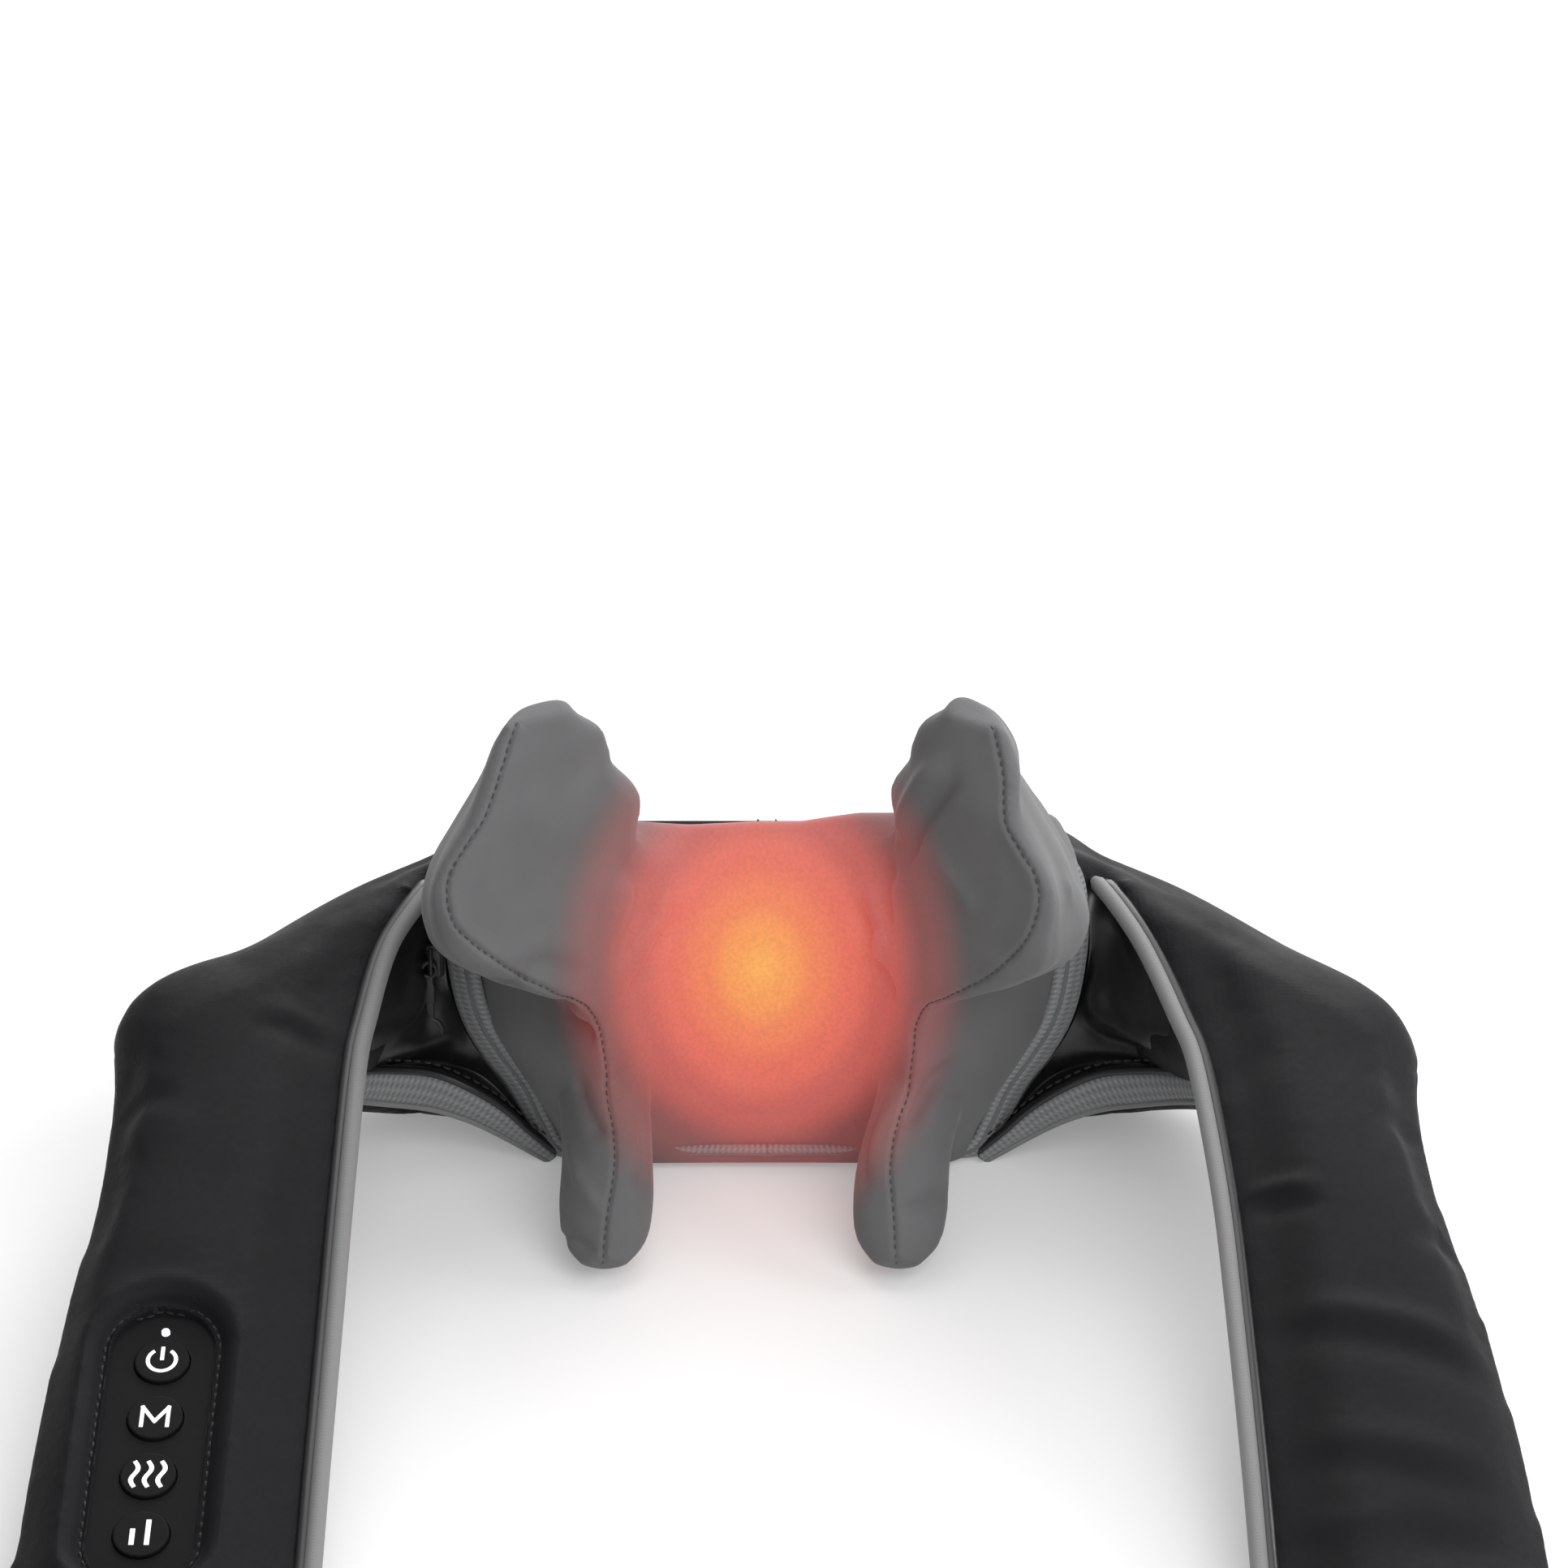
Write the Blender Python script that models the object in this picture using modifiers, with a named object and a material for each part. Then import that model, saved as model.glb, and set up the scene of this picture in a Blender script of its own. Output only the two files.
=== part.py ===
"""Shiatsu neck massager: a pod with two kneading claws behind the neck, and two soft arms that come
forward over the shoulders.

The pod stands on the plane z = 0. +X is to the right seen from the wearer's face, +Y points to the back
of the pod, and the arms run forward along -Y. Most shapes are stated in pod coordinates, whose origin is
the middle of the pod's front foot; one empty places that point in the world.
"""

import math

import bmesh
import bpy
from mathutils import Matrix, Vector

MM = 0.001
GAP = 0.3 * MM  # between pieces that touch

# Driving dimensions
POD_FOOT_Y = 131 * MM  # the pod's front foot, from the middle of the footprint
SHAFT_Y = 22 * MM  # the drive shaft, in pod coordinates
SHAFT_Z = 60 * MM
SHAFT_RADIUS = 4 * MM
CLAW_X = 42 * MM  # the claws' upright pivots
RIGHT_CLAW_TURN = math.radians(-6)  # how far the right-hand claw is turned in at rest
WHEEL_TEETH = 24
WHEEL_PITCH_RADIUS = 16 * MM
WORM_OFFSET = 20.6 * MM  # worm axis behind the wheel axis
HOUSING_HALF_WIDTH = 62 * MM
HOUSING_TOP = 100 * MM
HOUSING_FRONT = 21 * MM
HOUSING_BACK = 60 * MM
HOUSING_WALL = 2 * MM
ARM_FOLD = (-62 * MM, 57 * MM)  # y and z of the fold line between yoke and arm
ARM_INNER_X = 115 * MM
ARM_SLOPE = math.radians(16)
KEY_PITCH = 18.6 * MM
KEY_RADIUS = 7.1 * MM
KEY_TRAVEL = 0.8 * MM
PANEL_WIDTH = 28.2 * MM
PANEL_LENGTH = 90 * MM
PANEL_CENTRE = (-154.5 * MM, -187 * MM)  # x and y of the control panel's middle
PANEL_SINK = 1.2 * MM  # how far the panel's face lies under the arm's top face
PIPING_RADIUS = 2.3 * MM
LEFT, RIGHT = -1, 1


def clear_scene():
    for obj in list(bpy.data.objects):
        bpy.data.objects.remove(obj)


def new_collection(name):
    collection = bpy.data.collections.new(name)
    bpy.context.scene.collection.children.link(collection)
    return collection


clear_scene()
PARTS = new_collection("shiatsu_neck_massager")
CUTTERS = new_collection("cutters")


def material(name, colour, roughness, metallic=0.0):
    made = bpy.data.materials.new(name)
    made.use_nodes = True
    shader = made.node_tree.nodes["Principled BSDF"]
    shader.inputs["Base Color"].default_value = (*colour, 1)
    shader.inputs["Roughness"].default_value = roughness
    shader.inputs["Metallic"].default_value = metallic
    return made


LEATHERETTE = material("black_leatherette", (0.018, 0.018, 0.02), 0.55)
LINING = material("black_lining", (0.012, 0.012, 0.013), 0.5)
KNIT = material("grey_knit", (0.13, 0.13, 0.13), 0.85)
PIPING = material("light_grey_piping", (0.2, 0.2, 0.2), 0.6)
ZIP_TAPE = material("zip_tape", (0.12, 0.13, 0.13), 0.8)
PLASTIC = material("black_plastic", (0.02, 0.02, 0.02), 0.4)
NYLON = material("white_nylon", (0.75, 0.75, 0.7), 0.45)
FOAM = material("claw_foam", (0.1, 0.1, 0.1), 0.9)
SILICONE = material("key_silicone", (0.02, 0.02, 0.021), 0.6)
STEEL = material("steel", (0.6, 0.6, 0.6), 0.3, 1.0)
BRASS = material("brass", (0.8, 0.6, 0.3), 0.35, 1.0)
ALUMINIUM = material("aluminium", (0.75, 0.75, 0.76), 0.4, 1.0)
BOARD = material("circuit_board", (0.02, 0.12, 0.05), 0.5)
CELL_WRAP = material("cell_wrap", (0.05, 0.2, 0.35), 0.4)
LENS = material("lens", (0.9, 0.95, 1.0), 0.2)
WEBBING = material("webbing", (0.03, 0.03, 0.03), 0.9)


# Placing


def empty(name, location, parent=None, rotation=None):
    made = bpy.data.objects.new(name, None)
    made.location = location
    if rotation:
        made.rotation_euler = rotation
    made.parent = parent
    PARTS.objects.link(made)
    return made


def add(obj, name, finish, home):
    """Names an object, gives it its material, and hangs it on the empty `home`."""
    for collection in list(obj.users_collection):
        collection.objects.unlink(obj)
    PARTS.objects.link(obj)
    obj.name = name
    obj.data.name = name
    obj.data.materials.clear()
    obj.data.materials.append(finish)
    obj.parent = home
    return obj


def as_cutter(obj):
    CUTTERS.objects.link(obj)
    PARTS.objects.unlink(obj)
    obj.hide_render = True
    obj.display_type = "WIRE"
    return obj


def boolean(obj, other, operation="DIFFERENCE"):
    modifier = obj.modifiers.new(operation.lower(), "BOOLEAN")
    modifier.operation = operation
    modifier.object = other
    modifier.solver = "EXACT"
    return obj


def smooth(obj, angle=math.radians(40)):
    obj.data.shade_smooth()
    obj.data.set_sharp_from_angle(angle=angle)
    return obj


def bevelled(obj, width, segments=2):
    modifier = obj.modifiers.new("rounded", "BEVEL")
    modifier.width = width
    modifier.segments = segments
    modifier.limit_method = "ANGLE"
    return obj


# Shapes. Every size is in metres, in the coordinates of the empty that holds the shape.


def box(name, low, high, finish, home):
    bpy.ops.mesh.primitive_cube_add(size=1)
    obj = bpy.context.object
    size = Vector(high) - Vector(low)
    obj.data.transform(Matrix.Diagonal((*size, 1)))
    obj.location = (Vector(high) + Vector(low)) / 2
    return add(obj, name, finish, home)


def cylinder(name, radius, start, end, finish, home, sides=24, end_radius=None):
    """A round bar, or a cone, from one point to another."""
    start, end = Vector(start), Vector(end)
    bpy.ops.mesh.primitive_cone_add(
        vertices=sides,
        radius1=radius,
        radius2=radius if end_radius is None else end_radius,
        depth=(end - start).length,
    )
    obj = bpy.context.object
    turn = (end - start).to_track_quat("Z", "Y").to_matrix().to_4x4()
    obj.data.transform(turn)
    obj.location = (start + end) / 2
    return add(smooth(obj), name, finish, home)


def mesh_object(name, build, finish, home):
    mesh = bpy.data.meshes.new(name)
    shape = bmesh.new()
    build(shape)
    bmesh.ops.recalc_face_normals(shape, faces=shape.faces)
    shape.to_mesh(mesh)
    shape.free()
    obj = bpy.data.objects.new(name, mesh)
    PARTS.objects.link(obj)
    return add(smooth(obj), name, finish, home)


def loft(name, rings, finish, home):
    """A solid through unlike rings, which all have the same number of points."""

    def build(shape):
        made = [[shape.verts.new(point) for point in ring] for ring in rings]
        count = len(rings[0])
        for first, second in zip(made, made[1:]):
            for i in range(count):
                j = (i + 1) % count
                shape.faces.new((first[i], first[j], second[j], second[i]))
        shape.faces.new(made[0])
        shape.faces.new(list(reversed(made[-1])))

    return mesh_object(name, build, finish, home)


def prism(name, outline, low_y, high_y, finish, home):
    """A plate whose outline is given as (x, z), from one y to another."""
    return loft(name, [[(x, y, z) for x, z in outline] for y in (low_y, high_y)], finish, home)


def tube(name, points, radius, finish, home, roundness=2):
    """A round cord along a line of points."""
    curve = bpy.data.curves.new(name, "CURVE")
    curve.dimensions = "3D"
    curve.bevel_depth = radius
    curve.bevel_resolution = roundness
    curve.use_fill_caps = True
    spline = curve.splines.new("POLY")
    spline.points.add(len(points) - 1)
    for knot, point in zip(spline.points, points):
        knot.co = (*point, 1)
    obj = bpy.data.objects.new(name, curve)
    PARTS.objects.link(obj)
    return add(obj, name, finish, home)


def between(a, b, c, d, t):
    """The smooth curve through four points, at share t of the way from b to c."""
    a, b, c, d = map(Vector, (a, b, c, d))
    return 0.5 * (2 * b + (c - a) * t + (2 * a - 5 * b + 4 * c - d) * t**2 + (3 * b - a - 3 * c + d) * t**3)


def smooth_line(points, steps):
    """A finer open line through the points."""
    ends = [points[0], *points, points[-1]]
    line = []
    for a, b, c, d in zip(ends, ends[1:], ends[2:], ends[3:]):
        line += [between(a, b, c, d, k / steps) for k in range(steps)]
    return line + [Vector(points[-1])]


def smooth_loop(points, steps):
    """A finer closed line through the points."""
    count = len(points)
    around = [[points[(i + k) % count] for k in (-1, 0, 1, 2)] for i in range(count)]
    return [between(*four, k / steps) for four in around for k in range(steps)]


def smooth_rings(rings, steps_along, steps_around):
    """Finer rings between and around the given ones."""
    tracks = [smooth_line(track, steps_along) for track in zip(*rings)]
    return [smooth_loop(list(ring), steps_around) for ring in zip(*tracks)]


def sided(points, side):
    """Points stated for the right-hand side, on the side asked for, from millimetres to metres."""
    return [Vector((side * x, y, z)) * MM for x, y, z in points]


def relative(points, origin):
    return [Vector(point) - Vector(origin) for point in points]


# The pod's outline, seen from the front: wide at the claws, narrow at the foot


def shield(inset, steps=3):
    """The outline as (x, z), drawn in by `inset` all round."""
    half = [(0, 1), (38, 1), (59, 5), (74, 26), (86, 52), (90, 78)]
    half += [(85, 98), (68, 106), (36, 107), (0, 107)]
    right = [Vector((x, 0, z)) * MM for x, z in half]
    left = [Vector((-p.x, 0, p.z)) for p in right[-2:0:-1]]
    line = smooth_loop(right + left, steps)
    drawn = []
    for i, point in enumerate(line):
        along = line[(i + 1) % len(line)] - line[i - 1]
        outward = Vector((along.z, 0, -along.x)).normalized()
        drawn.append(point - outward * inset)
    return [(p.x, max(p.z, 0.9 * MM)) for p in drawn]


POD = empty("pod_foot", (0, POD_FOOT_Y, 0))


# Housing and frame

# The pod's back falls away behind the cover's top edge
TOP_FRONT, TOP_HEIGHT, TOP_FALL = 20 * MM, 101.8 * MM, 0.52


def above_top(name, drop):
    """A cutter that holds all that is higher than `drop` below the falling top."""
    outline = [(y, TOP_HEIGHT - (y - TOP_FRONT) * TOP_FALL - drop) for y in (0, 90 * MM)]
    outline += [(90 * MM, 150 * MM), (0, 150 * MM)]
    rings = [[(x, y, z) for y, z in outline] for x in (-120 * MM, 120 * MM)]
    return as_cutter(loft(name, rings, PLASTIC, POD))


def rear_housing():
    """The hard back shell, open at the front, with four screw holes and the charge socket's slot."""
    outer = (
        (-HOUSING_HALF_WIDTH, HOUSING_FRONT, 3 * MM),
        (HOUSING_HALF_WIDTH, HOUSING_BACK, HOUSING_TOP),
    )
    shell = bevelled(box("rear_housing", *outer, PLASTIC, POD), 8 * MM, 3)
    wall = HOUSING_WALL
    hollow = box(
        "housing_hollow",
        (-HOUSING_HALF_WIDTH + wall, HOUSING_FRONT - 10 * MM, 3 * MM + wall),
        (HOUSING_HALF_WIDTH - wall, HOUSING_BACK - wall, HOUSING_TOP - wall),
        PLASTIC,
        POD,
    )
    boolean(bevelled(hollow, 6 * MM, 3), above_top("hollow_top", 3.7 * MM))
    boolean(shell, as_cutter(hollow))
    boolean(shell, above_top("housing_top", 1.6 * MM))
    for number, (x, z) in enumerate(SCREW_PLACES, 1):
        hole = cylinder(
            f"housing_screw_hole_{number}",
            SCREW_RADIUS + GAP,
            (x, HOUSING_BACK - 10 * MM, z),
            (x, HOUSING_BACK + 5 * MM, z),
            PLASTIC,
            POD,
            sides=12,
        )
        boolean(shell, as_cutter(hole))
    slot = box(
        "charge_slot",
        (SOCKET_X - 4.8 * MM, HOUSING_BACK - 12 * MM, 12 * MM),
        (SOCKET_X + 4.8 * MM, HOUSING_BACK + 12 * MM, 16 * MM),
        PLASTIC,
        POD,
    )
    boolean(shell, as_cutter(slot))


SCREW_PLACES = [(x * MM, z * MM) for x in (-52, 52) for z in (14, 66)]
SCREW_RADIUS = 1.5 * MM
SOCKET_X = 42 * MM


def housing_screws():
    """Pan-head screws that hold the housing to the claw frame's posts, from the back."""
    for number, (x, z) in enumerate(SCREW_PLACES, 1):
        tip, seat = HOUSING_BACK - 9 * MM, HOUSING_BACK + GAP
        shank = (x, tip, z), (x, seat + 0.4 * MM, z)
        screw = cylinder(f"housing_screw_{number}", SCREW_RADIUS, *shank, STEEL, POD, sides=10)
        ends = (x, seat, z), (x, seat + 1.6 * MM, z)
        head = cylinder(f"screw_head_shape_{number}", 2.8 * MM, *ends, STEEL, POD, sides=14)
        boolean(screw, as_cutter(head), "UNION")


def charge_socket():
    """The charging inlet's metal shell, facing backwards through the housing."""
    low = (SOCKET_X - 4.4 * MM, HOUSING_BACK - 7 * MM, 12.4 * MM)
    high = (SOCKET_X + 4.4 * MM, HOUSING_BACK + 0.4 * MM, 15.6 * MM)
    shell = box("charge_socket", low, high, STEEL, POD)
    mouth = box(
        "charge_mouth",
        (low[0] + 0.4 * MM, high[1] - 5 * MM, low[2] + 0.4 * MM),
        (high[0] - 0.4 * MM, high[1] + 2 * MM, high[2] - 0.4 * MM),
        STEEL,
        POD,
    )
    boolean(shell, as_cutter(mouth))


def back_panel():
    """The padded leatherette panel over the housing's back."""
    low = (-HOUSING_HALF_WIDTH + 1 * MM, HOUSING_BACK + 2.6 * MM, 4 * MM)
    high = (HOUSING_HALF_WIDTH - 1 * MM, HOUSING_BACK + 9 * MM, 77 * MM)
    panel = bevelled(box("back_panel", low, high, LEATHERETTE, POD), 3 * MM, 2)
    window = box(
        "charge_window",
        (SOCKET_X - 6 * MM, HOUSING_BACK, 10.5 * MM),
        (SOCKET_X + 6 * MM, HOUSING_BACK + 20 * MM, 17.5 * MM),
        LEATHERETTE,
        POD,
    )
    boolean(panel, as_cutter(window))


def front_frame():
    """The ring that carries the zip and the cover, round the claws."""
    ring = prism("front_frame", shield(1.5 * MM), 7 * MM, 20 * MM, PLASTIC, POD)
    inside = prism("front_frame_inside", shield(5 * MM), 0, 30 * MM, PLASTIC, POD)
    boolean(ring, as_cutter(inside))
    boolean(ring, above_top("frame_top", 0.8 * MM))


def cover_panel():
    """The middle of the knitted cover: a shallow tray over the frame, open where the claws come through."""
    tray = prism("cover_panel", shield(1.5 * MM), -9 * MM, 6.5 * MM, KNIT, POD)
    inside = prism("cover_inside", shield(3.2 * MM), -7.2 * MM, 20 * MM, KNIT, POD)
    boolean(tray, as_cutter(inside))
    for side, word in ((LEFT, "left"), (RIGHT, "right")):
        corners = sided([(21, -20, 10), (84.5, 4, 116)], side)
        low = [min(a, b) for a, b in zip(*corners)]
        high = [max(a, b) for a, b in zip(*corners)]
        slot = box(f"{word}_claw_slot", low, high, KNIT, POD)
        boolean(tray, as_cutter(slot))


def cover_zip():
    """The zip tape round the pod, where the cover joins the black body."""
    tape = prism("cover_zip", shield(-0.8 * MM), 5 * MM, 17 * MM, ZIP_TAPE, POD)
    inside = prism("cover_zip_inside", shield(1.2 * MM), 0, 30 * MM, ZIP_TAPE, POD)
    boolean(tape, as_cutter(inside))
    boolean(tape, above_top("zip_top", 0))


def bottom_panel():
    """The flat leatherette sole that the pod stands on."""
    low, high = (-56 * MM, 21.5 * MM, 0), (56 * MM, 62 * MM, 2.6 * MM)
    bevelled(box("bottom_panel", low, high, LEATHERETTE, POD), 1 * MM, 1)


def base_plate():
    """The floor of the mechanism, with the battery's and motor's seats on it."""
    low, high = (-53 * MM, 20.4 * MM, 5.4 * MM), (53 * MM, 51.5 * MM, 8 * MM)
    bevelled(box("base_plate", low, high, PLASTIC, POD), 1 * MM, 1)


# Drive train


def gearbox():
    """Two shells that meet on the plane of the drive shaft, with the shaft's bores."""
    half_width, wall = 16 * MM, 2.2 * MM
    low_z, high_z = SHAFT_Z - 20 * MM, SHAFT_Z + 20 * MM
    halves = {
        "gearbox_front": (SHAFT_Y - 19.5 * MM, SHAFT_Y - GAP / 2),
        "gearbox_rear": (SHAFT_Y + GAP / 2, SHAFT_Y + 29 * MM),
    }
    hollow = as_cutter(
        box(
            "gearbox_hollow",
            (-half_width + wall, SHAFT_Y - 17.3 * MM, low_z + wall),
            (half_width - wall, SHAFT_Y + 26.8 * MM, high_z - wall),
            PLASTIC,
            POD,
        )
    )
    bore = as_cutter(
        cylinder(
            "gearbox_bore",
            BEARING_RADIUS + GAP,
            (-60 * MM, SHAFT_Y, SHAFT_Z),
            (60 * MM, SHAFT_Y, SHAFT_Z),
            PLASTIC,
            POD,
        )
    )
    worm_hole = as_cutter(
        cylinder(
            "worm_hole",
            4.2 * MM,
            (0, SHAFT_Y + WORM_OFFSET, 30 * MM),
            (0, SHAFT_Y + WORM_OFFSET, low_z + 5 * MM),
            PLASTIC,
            POD,
        )
    )
    for name, (low_y, high_y) in halves.items():
        shell = box(name, (-half_width, low_y, low_z), (half_width, high_y, high_z), PLASTIC, POD)
        boolean(boolean(shell, hollow), bore)
        if name == "gearbox_rear":
            boolean(shell, worm_hole)


BEARING_RADIUS = 7 * MM


def shaft_bearings():
    """Plain bearings for the drive shaft in the gearbox's side walls."""
    for side, word in ((LEFT, "left"), (RIGHT, "right")):
        ends = [(side * x * MM, SHAFT_Y, SHAFT_Z) for x in (13.9, 18)]
        ring = cylinder(f"{word}_shaft_bearing", BEARING_RADIUS, *ends, BRASS, POD)
        hole = [(side * x * MM, SHAFT_Y, SHAFT_Z) for x in (10, 22)]
        bore = cylinder(f"{word}_bearing_bore", SHAFT_RADIUS + 0.1 * MM, *hole, BRASS, POD)
        boolean(ring, as_cutter(bore))


def motor():
    """The motor's can, standing on the base plate under the worm."""
    x, y = 0, SHAFT_Y + WORM_OFFSET
    low, high = 8.3 * MM, 36 * MM
    can = cylinder("motor", 13.5 * MM, (x, y, low), (x, y, high), STEEL, POD, sides=32)
    bevelled(can, 1.5 * MM, 2)
    ends = (x, y, high - 6 * MM), (x, y, high + 9 * MM)
    shaft_hole = cylinder("motor_hole", 2.2 * MM, *ends, STEEL, POD, sides=12)
    boolean(can, as_cutter(shaft_hole))


def worm():
    """The worm and its shaft, on the motor's axis."""
    axis = empty("worm_axis", (0, SHAFT_Y + WORM_OFFSET, SHAFT_Z), POD)
    lead = 2 * math.pi * WHEEL_PITCH_RADIUS / WHEEL_TEETH
    root, crest, turns, sides = 3.4 * MM, 5.2 * MM, 4, 12
    core = cylinder("worm", root, (0, 0, -12 * MM), (0, 0, 12 * MM), STEEL, axis, sides=sides)
    pin = cylinder("worm_pin_shape", 1.6 * MM, (0, 0, -29 * MM), (0, 0, -11 * MM), STEEL, axis, sides=10)
    foot = root - 0.5 * MM
    profile = [(foot, -1.1 * MM), (crest, -0.4 * MM), (crest, 0.4 * MM), (foot, 1.1 * MM)]

    def ring_at(step):
        angle = 2 * math.pi * step / sides
        rise = lead * (step / sides - turns / 2)
        return [(r * math.cos(angle), r * math.sin(angle), rise + z) for r, z in profile]

    thread = loft("worm_thread_shape", [ring_at(step) for step in range(turns * sides + 1)], STEEL, axis)
    boolean(boolean(core, as_cutter(pin), "UNION"), as_cutter(thread), "UNION")


def drive_shaft():
    """The cross shaft, with the worm wheel at its middle and an oblique hub at each end."""
    axis = empty("drive_axis", (0, SHAFT_Y, SHAFT_Z), POD)
    reach = 50 * MM
    shaft = cylinder("drive_shaft", SHAFT_RADIUS, (-reach, 0, 0), (reach, 0, 0), STEEL, axis, sides=16)
    flat = box("shaft_flat", (-60 * MM, 3.3 * MM, -9 * MM), (60 * MM, 9 * MM, 9 * MM), STEEL, axis)
    boolean(shaft, as_cutter(flat))
    worm_wheel(axis)
    for side, word in ((LEFT, "left"), (RIGHT, "right")):
        oblique_hub(f"{word}_oblique_hub", side, axis)


def worm_wheel(axis):
    """A toothed wheel whose teeth stand clear in the worm's thread."""
    root, tip = WHEEL_PITCH_RADIUS - 1.6 * MM, WHEEL_PITCH_RADIUS + 0.2 * MM
    outline = []
    for tooth in range(WHEEL_TEETH):
        middle = (tooth + 0.25) / WHEEL_TEETH
        for share, radius in ((-0.3, root), (-0.12, tip), (0.12, tip), (0.3, root)):
            angle = 2 * math.pi * (middle + share / WHEEL_TEETH)
            outline.append((radius * math.cos(angle), radius * math.sin(angle)))
    half_face = 3.5 * MM
    rings = [[(x, y, z) for y, z in outline] for x in (-half_face, half_face)]
    wheel = loft("worm_wheel", rings, NYLON, axis)
    ends = (-20 * MM, 0, 0), (20 * MM, 0, 0)
    bore = cylinder("wheel_bore", SHAFT_RADIUS + GAP, *ends, NYLON, axis, sides=16)
    boolean(wheel, as_cutter(bore))


HUB_TILT = math.radians(6)


def oblique_hub(name, side, axis):
    """A disc set askew on the shaft, which wags the claw as it turns."""
    centre = Vector((side * CLAW_X, 0, 0))
    lean = Vector((math.cos(HUB_TILT), -side * math.sin(HUB_TILT), 0)) * 4 * MM
    hub = cylinder(name, 11.4 * MM, centre - lean, centre + lean, NYLON, axis)
    bore_ends = [centre + Vector((x * MM, 0, 0)) for x in (-16, 16)]
    bore = cylinder(f"{name}_bore", SHAFT_RADIUS + GAP, *bore_ends, NYLON, axis, sides=16)
    boolean(hub, as_cutter(bore))


# Claws. Each turns on an upright post behind its prongs.


def pivot_posts():
    for side, word in ((LEFT, "left"), (RIGHT, "right")):
        x = side * CLAW_X
        ends = (x, SHAFT_Y, 8.3 * MM), (x, SHAFT_Y, 36 * MM)
        cylinder(f"{word}_pivot_post", 3.4 * MM, *ends, STEEL, POD, sides=16)


UPPER_ROD = [(43, 10, 71.5), (58, -18, 98), (68, -26, 138)]  # the fork's rods, for the right-hand side
LOWER_ROD = [(43, 9, 50), (45, -18, 37), (45, -44, 22)]
# The foam prongs, ring by ring: towards the ridge, the outer flank, the back and the inner flank
UPPER_PAD = [
    [(58, -38, 84), (74, -26, 84), (66, -8, 84), (48, -16, 84)],
    [(79, -56, 102), (90, -30, 102), (66, -4, 104), (42, -20, 104)],
    [(82, -58, 118), (87, -26, 120), (64, 0, 122), (39, -17, 122)],
    [(75, -49, 137), (78, -24, 138), (61, -2, 139), (44, -18, 139)],
    [(69, -40, 151), (71, -25, 151), (60, -8, 151), (51, -20, 151)],
    [(66, -32, 160), (66, -26, 160), (61, -20, 160), (58, -24, 160)],
]
LOWER_PAD = [
    [(45, -14, 50), (57, -8, 44), (47, 0, 30), (34, -8, 44)],
    [(45, -30, 44), (58, -26, 34), (46, -14, 17), (33, -26, 34)],
    [(44.5, -48, 33), (57, -44, 21), (45, -33, 6), (33, -44, 21)],
    [(44.5, -59, 23), (55.5, -55, 12), (45, -46, 4), (34, -55, 12)],
    [(45, -64.5, 12), (51, -63, 8), (45, -60, 5), (39, -63, 8)],
]


def claw(side, word):
    """One claw on its pivot. At rest the right-hand one is turned in, as it stands in its stroke."""
    pivot = Vector((side * CLAW_X, SHAFT_Y, SHAFT_Z))
    axis = empty(f"{word}_claw_axis", pivot, POD, (0, 0, RIGHT_CLAW_TURN if side == RIGHT else 0))
    upper = relative(smooth_line(sided(UPPER_ROD, side), 3), pivot)
    lower = relative(smooth_line(sided(LOWER_ROD, side), 3), pivot)
    claw_fork(word, side, axis, upper, lower)
    pad(f"{word}_upper_pad", UPPER_PAD, side, pivot, axis, upper, 5 * MM)
    pad(f"{word}_lower_pad", LOWER_PAD, side, pivot, axis, lower, 4.4 * MM)


def claw_fork(word, side, axis, upper, lower):
    """The hard fork: a ring round the oblique hub, a socket on the pivot post, and two rods."""
    ring_ends = [(side * x * MM, 0, 0) for x in (-6, 6)]
    fork = cylinder(f"{word}_claw_fork", 18 * MM, *ring_ends, NYLON, axis, sides=28)
    socket_ends = (0, 0, -36 * MM), (0, 0, -15.5 * MM)
    socket = cylinder(f"{word}_socket_shape", 6.5 * MM, *socket_ends, NYLON, axis, sides=16)
    boolean(fork, as_cutter(socket), "UNION")
    for part, rod, radius in (("upper", upper, 4.4 * MM), ("lower", lower, 3.8 * MM)):
        shape = rod_shape(f"{word}_{part}_rod_shape", rod, radius, axis)
        boolean(fork, as_cutter(shape), "UNION")
    hub_space = cylinder(
        f"{word}_hub_space", 14.2 * MM, (-12 * MM, 0, 0), (12 * MM, 0, 0), NYLON, axis, sides=28
    )
    boolean(fork, as_cutter(hub_space))
    post_space = cylinder(
        f"{word}_post_space", 3.7 * MM, (0, 0, -60 * MM), (0, 0, -23 * MM), NYLON, axis, sides=16
    )
    boolean(fork, as_cutter(post_space))


def rod_shape(name, line, radius, home):
    """A round rod along a line, as a loft of rings square to it."""
    rings = []
    for i, point in enumerate(line):
        along = (line[min(i + 1, len(line) - 1)] - line[max(i - 1, 0)]).normalized()
        across = along.cross(Vector((0, 0.4, 1))).normalized()
        other = along.cross(across)
        angles = [2 * math.pi * k / 12 for k in range(12)]
        rings.append([point + radius * (math.cos(a) * across + math.sin(a) * other) for a in angles])
    return loft(name, rings, NYLON, home)


def pad(name, rings, side, pivot, axis, rod, clearance_radius):
    """A foam prong with a socket for its rod."""
    placed = [relative(sided(ring, side), pivot) for ring in rings]
    foam = loft(name, smooth_rings(placed, 2, 3), FOAM, axis)
    socket = rod_shape(f"{name}_socket", rod, clearance_radius, axis)
    socket.data.transform(Matrix.Translation((rod[-1] - rod[-2]).normalized() * 0.5 * MM))
    return boolean(foam, as_cutter(socket))


# Heat, power and control


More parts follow.
